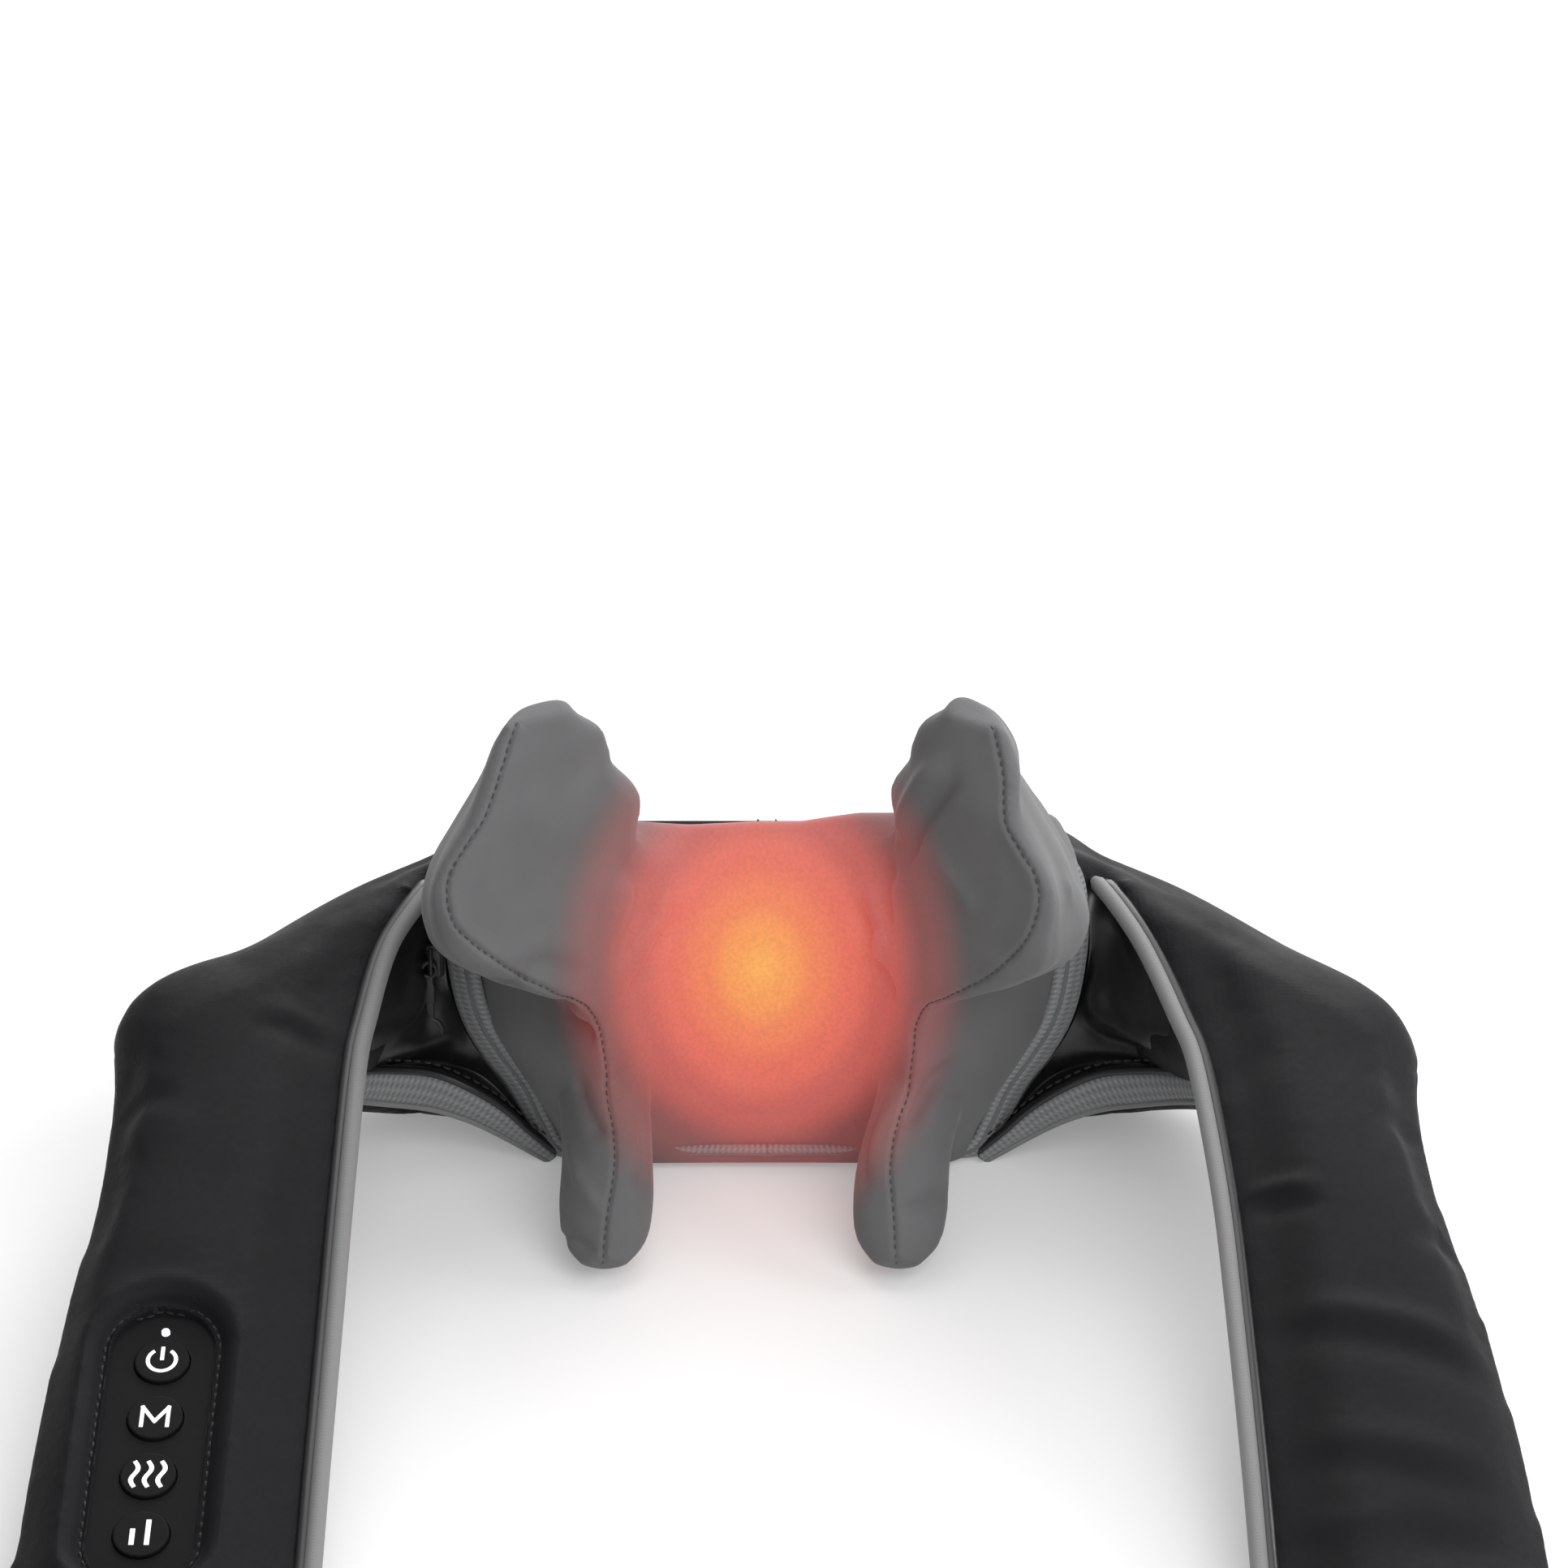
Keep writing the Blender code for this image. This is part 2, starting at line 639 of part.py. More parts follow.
def heater():
    """The warm plate behind the cover's middle, and the board with its lamps."""
    low, high = (-19 * MM, -5.6 * MM, 26 * MM), (19 * MM, -3.4 * MM, 92 * MM)
    bevelled(box("heat_plate", low, high, ALUMINIUM, POD), 0.9 * MM, 2)
    low, high = (-17 * MM, -1.6 * MM, 30 * MM), (17 * MM, 0, 88 * MM)
    box("lamp_board", low, high, BOARD, POD)


def batteries():
    """Two round cells standing on the base plate, each side of the gearbox."""
    y = 48 * MM
    for side, word in ((LEFT, "left"), (RIGHT, "right")):
        x = side * 27 * MM
        cell = cylinder(f"{word}_battery_cell", 9.1 * MM, (x, y, 8.4 * MM), (x, y, 73 * MM), CELL_WRAP, POD)
        bevelled(cell, 0.8 * MM, 1)
    back, low, high = 57 * MM, 74 * MM, 78 * MM
    front = 38.2 * MM
    holder = box("battery_clip", (-37.6 * MM, front, low), (-16.8 * MM, back, high), PLASTIC, POD)
    bridge = box("clip_bridge_shape", (-20 * MM, 52.5 * MM, low), (20 * MM, back, high), PLASTIC, POD)
    other = box("clip_right_shape", (16.8 * MM, front, low), (37.6 * MM, back, high), PLASTIC, POD)
    boolean(boolean(holder, as_cutter(bridge), "UNION"), as_cutter(other), "UNION")


def main_board():
    """The power and motor board, upright behind the right-hand claw."""
    box("main_board", (39 * MM, 46 * MM, 18 * MM), (58 * MM, 47.6 * MM, 70 * MM), BOARD, POD)


# Yokes: the thick shoulders of the body, from the pod's flanks to the arms' fold. Rings of eight points:
# neck edge, crest, outer top, outer edge, under outer, under, hem, lining
YOKE = [
    [
        (66, 28, 84), (66, 42, 85), (66, 55, 77), (66, 61, 42),
        (66, 55, 5), (66, 40, 2.4), (66, 26, 5), (66, 24, 46),
    ],
    [
        (94, 20, 84), (94, 31, 83), (96, 45, 74), (99, 53, 42),
        (100, 48, 5), (97, 34, 2.4), (96, 20, 5), (95, 20, 46),
    ],
    [
        (102, 7, 82), (111, 17, 82), (127, 26, 70), (137, 34, 44),
        (132, 32, 10), (116, 22, 8), (107, 13, 12), (103, 12, 48),
    ],
    [
        (109, -12, 77), (125, -1, 82), (149, 5, 67), (164, 7, 47),
        (157, 4, 26), (132, 0, 22), (113, -6, 32), (108, -6, 56),
    ],
    [
        (113, -38, 69), (139, -25, 77), (167, -21, 69), (180, -24, 55),
        (172, -28, 44), (146, -31, 44), (121, -36, 49), (113, -38, 59),
    ],
]
FOLD_GAP = 0.8 * MM
FOLD_UP = math.radians(24)  # half the wedge that is open above the fold line
FOLD_DOWN = math.radians(12)


def arm_ring(y, middle, width, thickness, tilt):
    """Eight points round the arm at y. Middle is the top's height, and tilt the drop to the outer edge."""
    inner, outer = ARM_INNER_X, ARM_INNER_X + width
    centre = (inner + outer) / 2
    return [
        Vector((inner, y, middle - 5 * MM)),
        Vector((centre - 10 * MM, y, middle)),
        Vector((outer - 17 * MM, y, middle - tilt * 0.6)),
        Vector((outer, y, middle - 8 * MM - tilt)),
        Vector((outer - 8 * MM, y, middle - thickness - tilt * 0.6)),
        Vector((centre, y, middle - thickness)),
        Vector((inner + 10 * MM, y, middle - thickness + 1 * MM)),
        Vector((inner, y, middle - 12.5 * MM)),
    ]


def arm_top(y):
    """The height of the arm's top along its middle, at y in pod coordinates."""
    straight = ARM_FOLD[1] + 11 * MM + (y - ARM_FOLD[0]) * math.tan(ARM_SLOPE)
    return straight


def at_fold(ring, forward):
    """Moves a ring's points away from the fold line, so that the arm can turn about it."""
    moved = []
    for point in ring:
        rise = point.z - ARM_FOLD[1]
        wedge = rise * math.tan(FOLD_UP) if rise > 0 else -rise * math.tan(FOLD_DOWN)
        away = FOLD_GAP + wedge
        moved.append(Vector((point.x, ARM_FOLD[0] + (-away if forward else away), point.z)))
    return moved


def mirrored(ring, side):
    return [Vector((side * point.x, point.y, point.z)) for point in ring]


def arm_stations():
    """The arm's rings from the fold to the hand, for the right-hand side."""
    first = arm_ring(ARM_FOLD[0], arm_top(ARM_FOLD[0]), 64 * MM, 20 * MM, 7 * MM)
    sizes = ((-100, 67, 19.5, 2), (-140, 71, 19, 0), (-190, 74, 18.5, 0), (-232, 76, 18, 0))
    straight = [
        arm_ring(y * MM, arm_top(y * MM), width * MM, thickness * MM, tilt * MM)
        for y, width, thickness, tilt in sizes
    ]
    lying = [
        arm_ring(y * MM, top * MM, width * MM, 17 * MM, 0)
        for y, top, width in ((-275, 18.2, 78), (-315, 17.9, 78))
    ]
    tip = arm_ring(-331 * MM, 15 * MM, 78 * MM, 12 * MM, 0)
    middle = ARM_INNER_X + 39 * MM
    tip = [Vector((middle + (p.x - middle) * 0.7, p.y, p.z + 0.5 * MM)) for p in tip]
    return [at_fold(first, True), *straight, *lying, tip]


def yokes():
    for side, word in ((LEFT, "left"), (RIGHT, "right")):
        rings = [sided(ring, side) for ring in YOKE]
        last = arm_ring(ARM_FOLD[0], arm_top(ARM_FOLD[0]), 64 * MM, 20 * MM, 7 * MM)
        rings.append(mirrored(at_fold(last, False), side))
        loft(f"{word}_yoke", smooth_rings(rings, 2, 2), LEATHERETTE, POD)
        edge = [(93.3, 17, 84.5), (99, 4.5, 82.5), (105.6, -12.4, 78), (109.6, -38, 70.5), (111.2, -55, 65)]
        tube(f"{word}_yoke_piping", smooth_line(sided(edge, side), 3), PIPING_RADIUS, PIPING, POD)


def arm(side, word):
    axis = empty(f"{word}_arm_axis", (side * 147 * MM, *ARM_FOLD), POD)
    rings = [mirrored(ring, side) for ring in arm_stations()]
    fine = [relative(ring, axis.location) for ring in smooth_rings(rings, 2, 2)]
    body = loft(f"{word}_arm", fine, LEATHERETTE, axis)
    edge = [ring[0] + Vector((-side * (PIPING_RADIUS + 1.2 * MM), 0, 1 * MM)) for ring in rings[:-1]]
    edge[0] = edge[0] + Vector((0, -2.5 * MM, 0))
    line = relative(smooth_line(edge, 3), axis.location)
    tube(f"{word}_arm_piping", line, PIPING_RADIUS, PIPING, axis)
    hand_strap(word, side, axis)
    return axis, body


STRAP_Y = -286 * MM
STRAP_HALF_LENGTH = 15 * MM


def hand_strap(word, side, axis):
    """A webbing loop across the arm's end, for the wearer's hand."""
    middle, half_span, rise, thickness = ARM_INNER_X + 39 * MM, 33 * MM, 27 * MM, 2.4 * MM
    base = 17.9 * MM
    outside = arch(half_span, rise, 14)
    inside = arch(half_span - thickness, rise - thickness, 14)
    outline = [(side * (middle + x), base + z) for x, z in outside + list(reversed(inside))]
    rings = [
        relative([(x, STRAP_Y + y, z) for x, z in outline], axis.location)
        for y in (-STRAP_HALF_LENGTH, STRAP_HALF_LENGTH)
    ]

    loft(f"{word}_hand_strap", rings, WEBBING, axis)


def arch(half_span, rise, steps):
    """A low arch as (x, z), from one foot to the other."""
    angles = [math.pi * k / steps for k in range(steps + 1)]
    return [(-half_span * math.cos(a), rise * math.sin(a) ** 0.8) for a in angles]


# Control panel, in the left arm. Its empty has +Y towards the pod along the arm, and +Z out of the arm.


def control_panel(axis, body):
    x, y = PANEL_CENTRE
    spot = Vector((x, y, arm_top(y) - PANEL_SINK))
    home = empty("control_panel_frame", spot - axis.location, axis, (ARM_SLOPE, 0, 0))
    radius, half_length = PANEL_WIDTH / 2, PANEL_LENGTH / 2
    sunk = (-4.2 * MM, 20 * MM)
    well = capsule("panel_well", radius + GAP, half_length + GAP, *sunk, LEATHERETTE, home)
    boolean(body, as_cutter(well))
    inset = 1.6 * MM
    heights = (-3.9 * MM, -2.7 * MM)
    board = capsule("key_board", radius - inset, half_length - inset, *heights, BOARD, home)
    bevelled(board, 0.2 * MM, 1)
    plate = capsule("key_panel", radius, half_length, -2.4 * MM, 0, SILICONE, home)
    first = PANEL_LENGTH / 2 - 17 * MM
    for number, name in enumerate(("power_key", "mode_key", "heat_key", "level_key")):
        y_key = first - number * KEY_PITCH
        ends = (0, y_key, -9 * MM), (0, y_key, 9 * MM)
        hole = cylinder(f"{name}_hole", KEY_RADIUS + GAP, *ends, SILICONE, home)
        boolean(plate, as_cutter(hole))
        spot_key = empty(f"{name}_axis", (0, y_key, 0), home)
        key = cylinder(name, KEY_RADIUS, (0, 0, -1.5 * MM), (0, 0, 1.1 * MM), SILICONE, spot_key)
        bevelled(key, 0.5 * MM, 2)
    y_lamp = PANEL_LENGTH / 2 - 7 * MM
    ends = (0, y_lamp, -9 * MM), (0, y_lamp, 9 * MM)
    hole = cylinder("lamp_hole", 1.2 * MM, *ends, SILICONE, home, sides=12)
    boolean(plate, as_cutter(hole))
    ends = (0, y_lamp, -2.3 * MM), (0, y_lamp, 0.2 * MM)
    cylinder("status_lamp", 0.9 * MM, *ends, LENS, home, sides=12)
    return home


def capsule(name, radius, half_length, low, high, finish, home):
    """A plate with round ends, long along Y."""
    steps = 12
    straight = half_length - radius
    outline = []
    for end, start in ((straight, 0.0), (-straight, math.pi)):
        for k in range(steps + 1):
            angle = start + math.pi * k / steps
            outline.append((radius * math.cos(angle), end + radius * math.sin(angle)))
    rings = [[(x, y, z) for x, y in outline] for z in (low, high)]
    return loft(name, rings, finish, home)


# Zip slider and pull, on the pod's left flank


ZIP_PULL_PIVOT = (-96.0, 3.0, 64.0)


def zip_slider():
    x, y, z = (value * MM for value in ZIP_PULL_PIVOT)
    low, high = (x - 1 * MM, y + 2.2 * MM, z - 5 * MM), (x + 4 * MM, y + 6.6 * MM, z + 5 * MM)
    body = box("zip_slider", low, high, PLASTIC, POD)
    bevelled(body, 0.8 * MM, 1)


def zip_pull():
    """A flat tab with an eye at its lower end, hanging from the slider."""
    axis = empty("zip_pull_axis", Vector(ZIP_PULL_PIVOT) * MM, POD)
    tab = box("zip_pull", (-2.4 * MM, -0.7 * MM, -19 * MM), (2.4 * MM, 0.7 * MM, 1.5 * MM), PLASTIC, axis)
    z = -20 * MM
    bulb = cylinder("pull_bulb_shape", 3.4 * MM, (0, -0.7 * MM, z), (0, 0.7 * MM, z), PLASTIC, axis, sides=20)
    eye = cylinder("pull_eye", 2.1 * MM, (0, -5 * MM, z), (0, 5 * MM, z), PLASTIC, axis, sides=16)
    boolean(boolean(tab, as_cutter(bulb), "UNION"), as_cutter(eye))


def build():
    rear_housing()
    housing_screws()
    charge_socket()
    back_panel()
    front_frame()
    cover_panel()
    cover_zip()
    bottom_panel()
    base_plate()
    gearbox()
    shaft_bearings()
    motor()
    worm()
    drive_shaft()
    pivot_posts()
    heater()
    batteries()
    main_board()
    yokes()
    zip_slider()
    zip_pull()
    for side, word in ((LEFT, "left"), (RIGHT, "right")):
        claw(side, word)
    axis, body = arm(LEFT, "left")
    control_panel(axis, body)
    arm(RIGHT, "right")


build()
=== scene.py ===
import math

import bmesh
import bpy
import numpy as np
from mathutils import Matrix, Vector
from mathutils.bvhtree import BVHTree


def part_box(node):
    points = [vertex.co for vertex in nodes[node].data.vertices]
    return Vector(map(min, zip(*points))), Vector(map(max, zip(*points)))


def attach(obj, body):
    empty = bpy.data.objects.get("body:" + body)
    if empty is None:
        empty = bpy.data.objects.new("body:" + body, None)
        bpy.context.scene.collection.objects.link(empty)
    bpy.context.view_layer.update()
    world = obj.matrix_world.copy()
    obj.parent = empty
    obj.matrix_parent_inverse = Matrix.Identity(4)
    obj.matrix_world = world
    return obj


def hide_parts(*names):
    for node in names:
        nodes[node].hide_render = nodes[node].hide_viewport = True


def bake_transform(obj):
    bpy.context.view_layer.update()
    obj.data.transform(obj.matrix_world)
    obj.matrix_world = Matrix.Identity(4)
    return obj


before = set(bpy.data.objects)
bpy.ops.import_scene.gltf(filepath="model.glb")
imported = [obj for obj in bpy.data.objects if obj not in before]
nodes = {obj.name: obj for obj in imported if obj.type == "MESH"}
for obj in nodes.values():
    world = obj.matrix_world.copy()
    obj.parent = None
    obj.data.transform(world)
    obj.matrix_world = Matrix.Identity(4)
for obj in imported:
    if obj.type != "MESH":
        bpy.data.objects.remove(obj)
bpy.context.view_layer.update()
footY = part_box("bottom_panel")[0].y - 0.0215  # the pod's front foot, which most sizes count from
left, right = -1, 1
sides = {"left": left, "right": right}


def pod(x, y, z):
    # millimetres from the pod's front foot
    return Vector((x * 0.001, footY + y * 0.001, z * 0.001))


# lines


def splinePoint(a, b, c, d, t):
    # the spot at share t of the way from b to c on a smooth line
    straight = 2 * b + (c - a) * t
    return 0.5 * (straight + (2 * a - 5 * b + 4 * c - d) * t**2 + (3 * b - a - 3 * c + d) * t**3)


def curveThrough(points, steps):
    ends = [2 * points[0] - points[1], *points, 2 * points[-1] - points[-2]]
    line = []
    for a, b, c, d in zip(ends, ends[1:], ends[2:], ends[3:]):
        for k in range(steps):
            t = k / steps
            line.append(splinePoint(a, b, c, d, t))
    return line + [points[-1].copy()]


def loopThrough(points, steps):
    count = len(points)
    line = []
    for i in range(count):
        a, b, c, d = (points[(i + k) % count] for k in (-1, 0, 1, 2))
        for k in range(steps):
            t = k / steps
            line.append(splinePoint(a, b, c, d, t))
    return line


def evenly(points, count, closed=False):
    # the same line with evenly spaced points
    line = list(points) + ([points[0]] if closed else [])
    run = [0.0]
    for a, b in zip(line, line[1:]):
        run.append(run[-1] + (b - a).length)
    stops = [run[-1] * k / (count if closed else count - 1) for k in range(count)]
    out, i = [], 0
    for stop in stops:
        while i < len(run) - 2 and run[i + 1] < stop:
            i += 1
        span = run[i + 1] - run[i]
        out.append(line[i].lerp(line[i + 1], (stop - run[i]) / span if span else 0))
    return out


def lineLength(points):
    return sum((b - a).length for a, b in zip(points, points[1:]))


# meshes


def pickOnly(*pieces):
    bpy.ops.object.select_all(action="DESELECT")
    for piece in pieces:
        piece.select_set(True)
    bpy.context.view_layer.objects.active = pieces[0]


def newPiece(name, points, faces):
    mesh = bpy.data.meshes.new(name)
    mesh.from_pydata([tuple(p) for p in points], [], faces)
    piece = bpy.data.objects.new(name, mesh)
    bpy.context.scene.collection.objects.link(piece)
    mesh.shade_smooth()
    return piece


def outwards(piece):
    shape = bmesh.new()
    shape.from_mesh(piece.data)
    bmesh.ops.recalc_face_normals(shape, faces=shape.faces)
    shape.to_mesh(piece.data)
    shape.free()
    return piece


def lofted(name, rings, closeEnds=True):
    count = len(rings[0])
    points = [p for ring in rings for p in ring]
    faces = []
    for r in range(len(rings) - 1):
        for i in range(count):
            j = (i + 1) % count
            faces.append((r * count + i, r * count + j, (r + 1) * count + j, (r + 1) * count + i))
    if closeEnds:
        faces.append(tuple(range(count)))
        faces.append(tuple(range(len(points) - 1, len(points) - count - 1, -1)))
    return outwards(newPiece(name, points, faces))


def finish(piece, kind, **values):
    # adds a modifier and applies it
    modifier = piece.modifiers.new(kind.lower(), kind)
    for name, value in values.items():
        setattr(modifier, name, value)
    pickOnly(piece)
    bpy.ops.object.modifier_apply(modifier=modifier.name)
    return piece


def joined(name, pieces):
    pickOnly(*pieces)
    if len(pieces) > 1:
        bpy.ops.object.join()
    pieces[0].name = name
    pieces[0].data.name = name
    return pieces[0]


def removePiece(piece):
    bpy.data.objects.remove(piece)


def pointsOf(piece):
    co = np.empty(len(piece.data.vertices) * 3)
    piece.data.vertices.foreach_get("co", co)
    return co.reshape(-1, 3)


def normalsOf(piece):
    co = np.empty(len(piece.data.vertices) * 3)
    piece.data.vertex_normals.foreach_get("vector", co)
    return co.reshape(-1, 3)


def setPoints(piece, co):
    piece.data.vertices.foreach_set("co", co.ravel())
    piece.data.update()


def cutBy(piece, point, normal):
    # keeps the side the normal points away from
    shape = bmesh.new()
    shape.from_mesh(piece.data)
    parts = shape.verts[:] + shape.edges[:] + shape.faces[:]
    bmesh.ops.bisect_plane(shape, geom=parts, dist=1e-6, plane_co=point, plane_no=normal, clear_outer=True)
    shape.to_mesh(piece.data)
    shape.free()


def finerNear(piece, near, cuts=1):
    # splits the faces whose corners near() accepts
    shape = bmesh.new()
    shape.from_mesh(piece.data)
    shape.verts.ensure_lookup_table()
    close = near(np.array([v.co for v in shape.verts]))
    edges = [e for e in shape.edges if close[e.verts[0].index] and close[e.verts[1].index]]
    bmesh.ops.subdivide_edges(shape, edges=edges, cuts=cuts, use_grid_fill=True, smooth=0)
    shape.to_mesh(piece.data)
    shape.free()


def toLine(co, line):
    # distance of each point to a line of points, and how far along the line its nearest spot is
    line = np.array([tuple(p) for p in line])
    best = np.full(len(co), 1e9)
    along = np.zeros(len(co))
    run = 0.0
    for a, b in zip(line, line[1:]):
        d = b - a
        size = float(d @ d)
        t = np.clip(((co - a) @ d) / size, 0, 1)
        gap = np.linalg.norm(co - (a + t[:, None] * d), axis=1)
        nearer = gap < best
        best[nearer] = gap[nearer]
        along[nearer] = run + t[nearer] * math.sqrt(size)
        run += math.sqrt(size)
    return best, along, run


def softStep(x):
    x = np.clip(x, 0, 1)
    return x * x * (3 - 2 * x)


def pressFold(piece, line, depth, width, fade=0.25):
    # a crease along the line: depth above zero sinks it, below zero raises it
    co, normals = pointsOf(piece), normalsOf(piece)
    gap, along, run = toLine(co, line)
    share = along / run
    ends = softStep(share / fade) * softStep((1 - share) / fade)
    amount = depth * np.exp(-((gap / width) ** 2)) * ends
    setPoints(piece, co - normals * amount[:, None])


def onSurface(piece, line, lift=0.0):
    # moves a line onto a piece
    tree = BVHTree.FromPolygons([v.co for v in piece.data.vertices], [p.vertices[:] for p in piece.data.polygons])
    out, facing = [], []
    for p in line:
        spot, normal, _, _ = tree.find_nearest(p)
        out.append(spot + normal * lift)
        facing.append(normal)
    return out, facing


def stitches(name, line, facing, pitch, length, radius, lift=0.0):
    # short threads along a line, each with a few dozen faces
    count = max(2, int(lineLength(line) / pitch))
    spots = evenly(line, count * 6 + 1)
    ways = evenly(facing, count * 6 + 1)
    points, faces = [], []
    for k in range(count):
        a, b = spots[k * 6 + 1], spots[k * 6 + 5]
        middle = (a + b) / 2
        along = (b - a).normalized()
        up = ways[k * 6 + 3].normalized()
        across = along.cross(up).normalized()
        up = across.cross(along)
        base = len(points)
        for share, size, rise in ((-0.5, 0.35, -0.6), (-0.3, 0.9, 0.5), (0.3, 0.9, 0.5), (0.5, 0.35, -0.6)):
            centre = middle + along * (share * length) + up * (lift + rise * radius)
            for s in range(6):
                angle = math.pi * s / 3
                points.append(centre + (across * math.cos(angle) + up * math.sin(angle)) * radius * size)
        for r in range(3):
            for s in range(6):
                t = (s + 1) % 6
                faces.append((base + r * 6 + s, base + r * 6 + t, base + r * 6 + 6 + t, base + r * 6 + 6 + s))
        faces.append(tuple(base + s for s in range(5, -1, -1)))
        faces.append(tuple(base + 18 + s for s in range(6)))
    return outwards(newPiece(name, points, faces))


def roundTube(name, line, radius, sidesCount=12, squash=1.0):
    # a cord with rounded ends, as a mesh
    rings = []
    count = len(line)
    lastAcross = None
    for i, p in enumerate(line):
        along = (line[min(i + 1, count - 1)] - line[max(i - 1, 0)]).normalized()
        across = along.cross(Vector((0, 0, 1))) if lastAcross is None else lastAcross - along * lastAcross.dot(along)
        across.normalize()
        lastAcross = across
        up = across.cross(along)
        size = radius * (0.55 if i in (0, count - 1) else 1.0)
        rings.append(
            [
                p + (across * math.cos(turn) + up * squash * math.sin(turn)) * size
                for turn in (2 * math.pi * s / sidesCount for s in range(sidesCount))
            ]
        )
    return lofted(name, rings)


def grid(name, rows):
    # an open sheet through rows of points, with a UV map in metres along and across
    count = len(rows[0])
    points = [p for row in rows for p in row]
    faces = []
    for r in range(len(rows) - 1):
        for i in range(count - 1):
            faces.append((r * count + i, r * count + i + 1, (r + 1) * count + i + 1, (r + 1) * count + i))
    piece = newPiece(name, points, faces)
    middle = len(rows) // 2
    runU = [0.0]
    for a, b in zip(rows[middle], rows[middle][1:]):
        runU.append(runU[-1] + (b - a).length)
    runV = [0.0]
    for a, b in zip(rows, rows[1:]):
        runV.append(runV[-1] + (b[count // 2] - a[count // 2]).length)
    layer = piece.data.uv_layers.new(name="UVMap")
    for face in piece.data.polygons:
        for loop in face.loop_indices:
            v = piece.data.loops[loop].vertex_index
            layer.data[loop].uv = (runU[v % count], runV[v // count])
    return piece


# finishes


def finish3d(name, colour, roughness, specular=0.5, metallic=0.0, sheen=0.0, coat=0.0):
    made = bpy.data.materials.new(name)
    made.use_nodes = True
    shader = made.node_tree.nodes["Principled BSDF"]
    shader.inputs["Base Color"].default_value = (*colour, 1)
    shader.inputs["Roughness"].default_value = roughness
    shader.inputs["Specular IOR Level"].default_value = specular
    shader.inputs["Metallic"].default_value = metallic
    shader.inputs["Sheen Weight"].default_value = sheen
    shader.inputs["Sheen Roughness"].default_value = 0.45
    shader.inputs["Coat Weight"].default_value = coat
    return made


def node(material, kind, **values):
    made = material.node_tree.nodes.new("ShaderNode" + kind)
    for name, value in values.items():
        if name in made.inputs:
            made.inputs[name].default_value = value
        else:
            setattr(made, name, value)
    return made


def wire(material, source, target):
    # each end is a node and the name or number of its socket
    output = source[0].outputs[source[1]]
    socket = target[0].inputs[target[1]]
    material.node_tree.links.new(output, socket)


def shaderOf(material):
    return material.node_tree.nodes["Principled BSDF"]


def place(material, output="Object", scale=(1, 1, 1), turn=(0, 0, 0), start=(0, 0, 0)):
    where = node(material, "TexCoord")
    mapping = node(material, "Mapping")
    mapping.inputs["Scale"].default_value = scale
    mapping.inputs["Rotation"].default_value = turn
    mapping.inputs["Location"].default_value = start
    wire(material, (where, output), (mapping, "Vector"))
    return mapping


def grain(material, mapping, scale, detail=2.0):
    texture = node(material, "TexNoise", Scale=scale, Detail=detail)
    wire(material, (mapping, 0), (texture, "Vector"))
    return texture


def cells(material, mapping, scale, feature="F1"):
    texture = node(material, "TexVoronoi", Scale=scale)
    texture.feature = feature
    wire(material, (mapping, 0), (texture, "Vector"))
    return texture


def spread(material, source, low, high, outLow, outHigh):
    # takes a value from one span to another
    made = node(material, "MapRange")
    made.inputs["From Min"].default_value = low
    made.inputs["From Max"].default_value = high
    made.inputs["To Min"].default_value = outLow
    made.inputs["To Max"].default_value = outHigh
    wire(material, source, (made, "Value"))
    return made


def reckon(material, way, first, second):
    made = node(material, "Math", operation=way)
    for i, value in enumerate((first, second)):
        if isinstance(value, tuple):
            material.node_tree.links.new(value[0].outputs[value[1]], made.inputs[i])
        else:
            made.inputs[i].default_value = value
    return made


def relief(material, source, strength, distance):
    bump = node(material, "Bump", Strength=strength, Distance=distance)
    wire(material, source, (bump, "Height"))
    wire(material, (bump, "Normal"), (shaderOf(material), "Normal"))
    return bump


def tint(material, source, low, high):
    # base colour from a value between 0 and 1
    ramp = node(material, "ValToRGB")
    ramp.color_ramp.elements[0].color = (*low, 1)
    ramp.color_ramp.elements[1].color = (*high, 1)
    wire(material, source, (ramp, "Fac"))
    wire(material, (ramp, "Color"), (shaderOf(material), "Base Color"))
    return ramp


def gloss(material, source, low, high):
    made = spread(material, source, 0, 1, low, high)
    wire(material, (made, 0), (shaderOf(material), "Roughness"))


def leatherFinish(name, low, high, roughness, specular, pebble=1500, depth=0.00012):
    # a coated fabric: small pebbles, a few soft dents, a colour that is never quite even
    made = finish3d(name, high, roughness, specular, sheen=0.05)
    shaderOf(made).inputs["Sheen Roughness"].default_value = 0.25
    where = place(made)
    pebbles = cells(made, where, pebble, "SMOOTH_F1")
    dents = grain(made, where, 240, 3)
    height = reckon(made, "ADD", (reckon(made, "MULTIPLY", (pebbles, 0), 0.55), 0), (dents, 0))
    relief(made, (height, 0), 0.32, depth)
    cloudy = grain(made, where, 38, 4)
    tint(made, (cloudy, 0), low, high)
    gloss(made, (grain(made, where, 420, 2), 0), roughness - 0.05, roughness + 0.1)
    return made


def plasticFinish(name, low, high, roughness, specular=0.4, scale=900):
    made = finish3d(name, high, roughness, specular)
    where = place(made)
    speckle = grain(made, where, scale, 3)
    tint(made, (speckle, 0), low, high)
    relief(made, (speckle, 0), 0.1, 0.0001)
    gloss(made, (grain(made, where, 60, 2), 0), roughness - 0.04, roughness + 0.08)
    return made


def metalFinish(name, low, high, roughness):
    made = finish3d(name, high, roughness, 0.5, metallic=1.0)
    where = place(made, scale=(1, 1, 6))
    brushed = grain(made, where, 500, 4)
    tint(made, (brushed, 0), low, high)
    gloss(made, (brushed, 0), roughness - 0.06, roughness + 0.12)
    return made


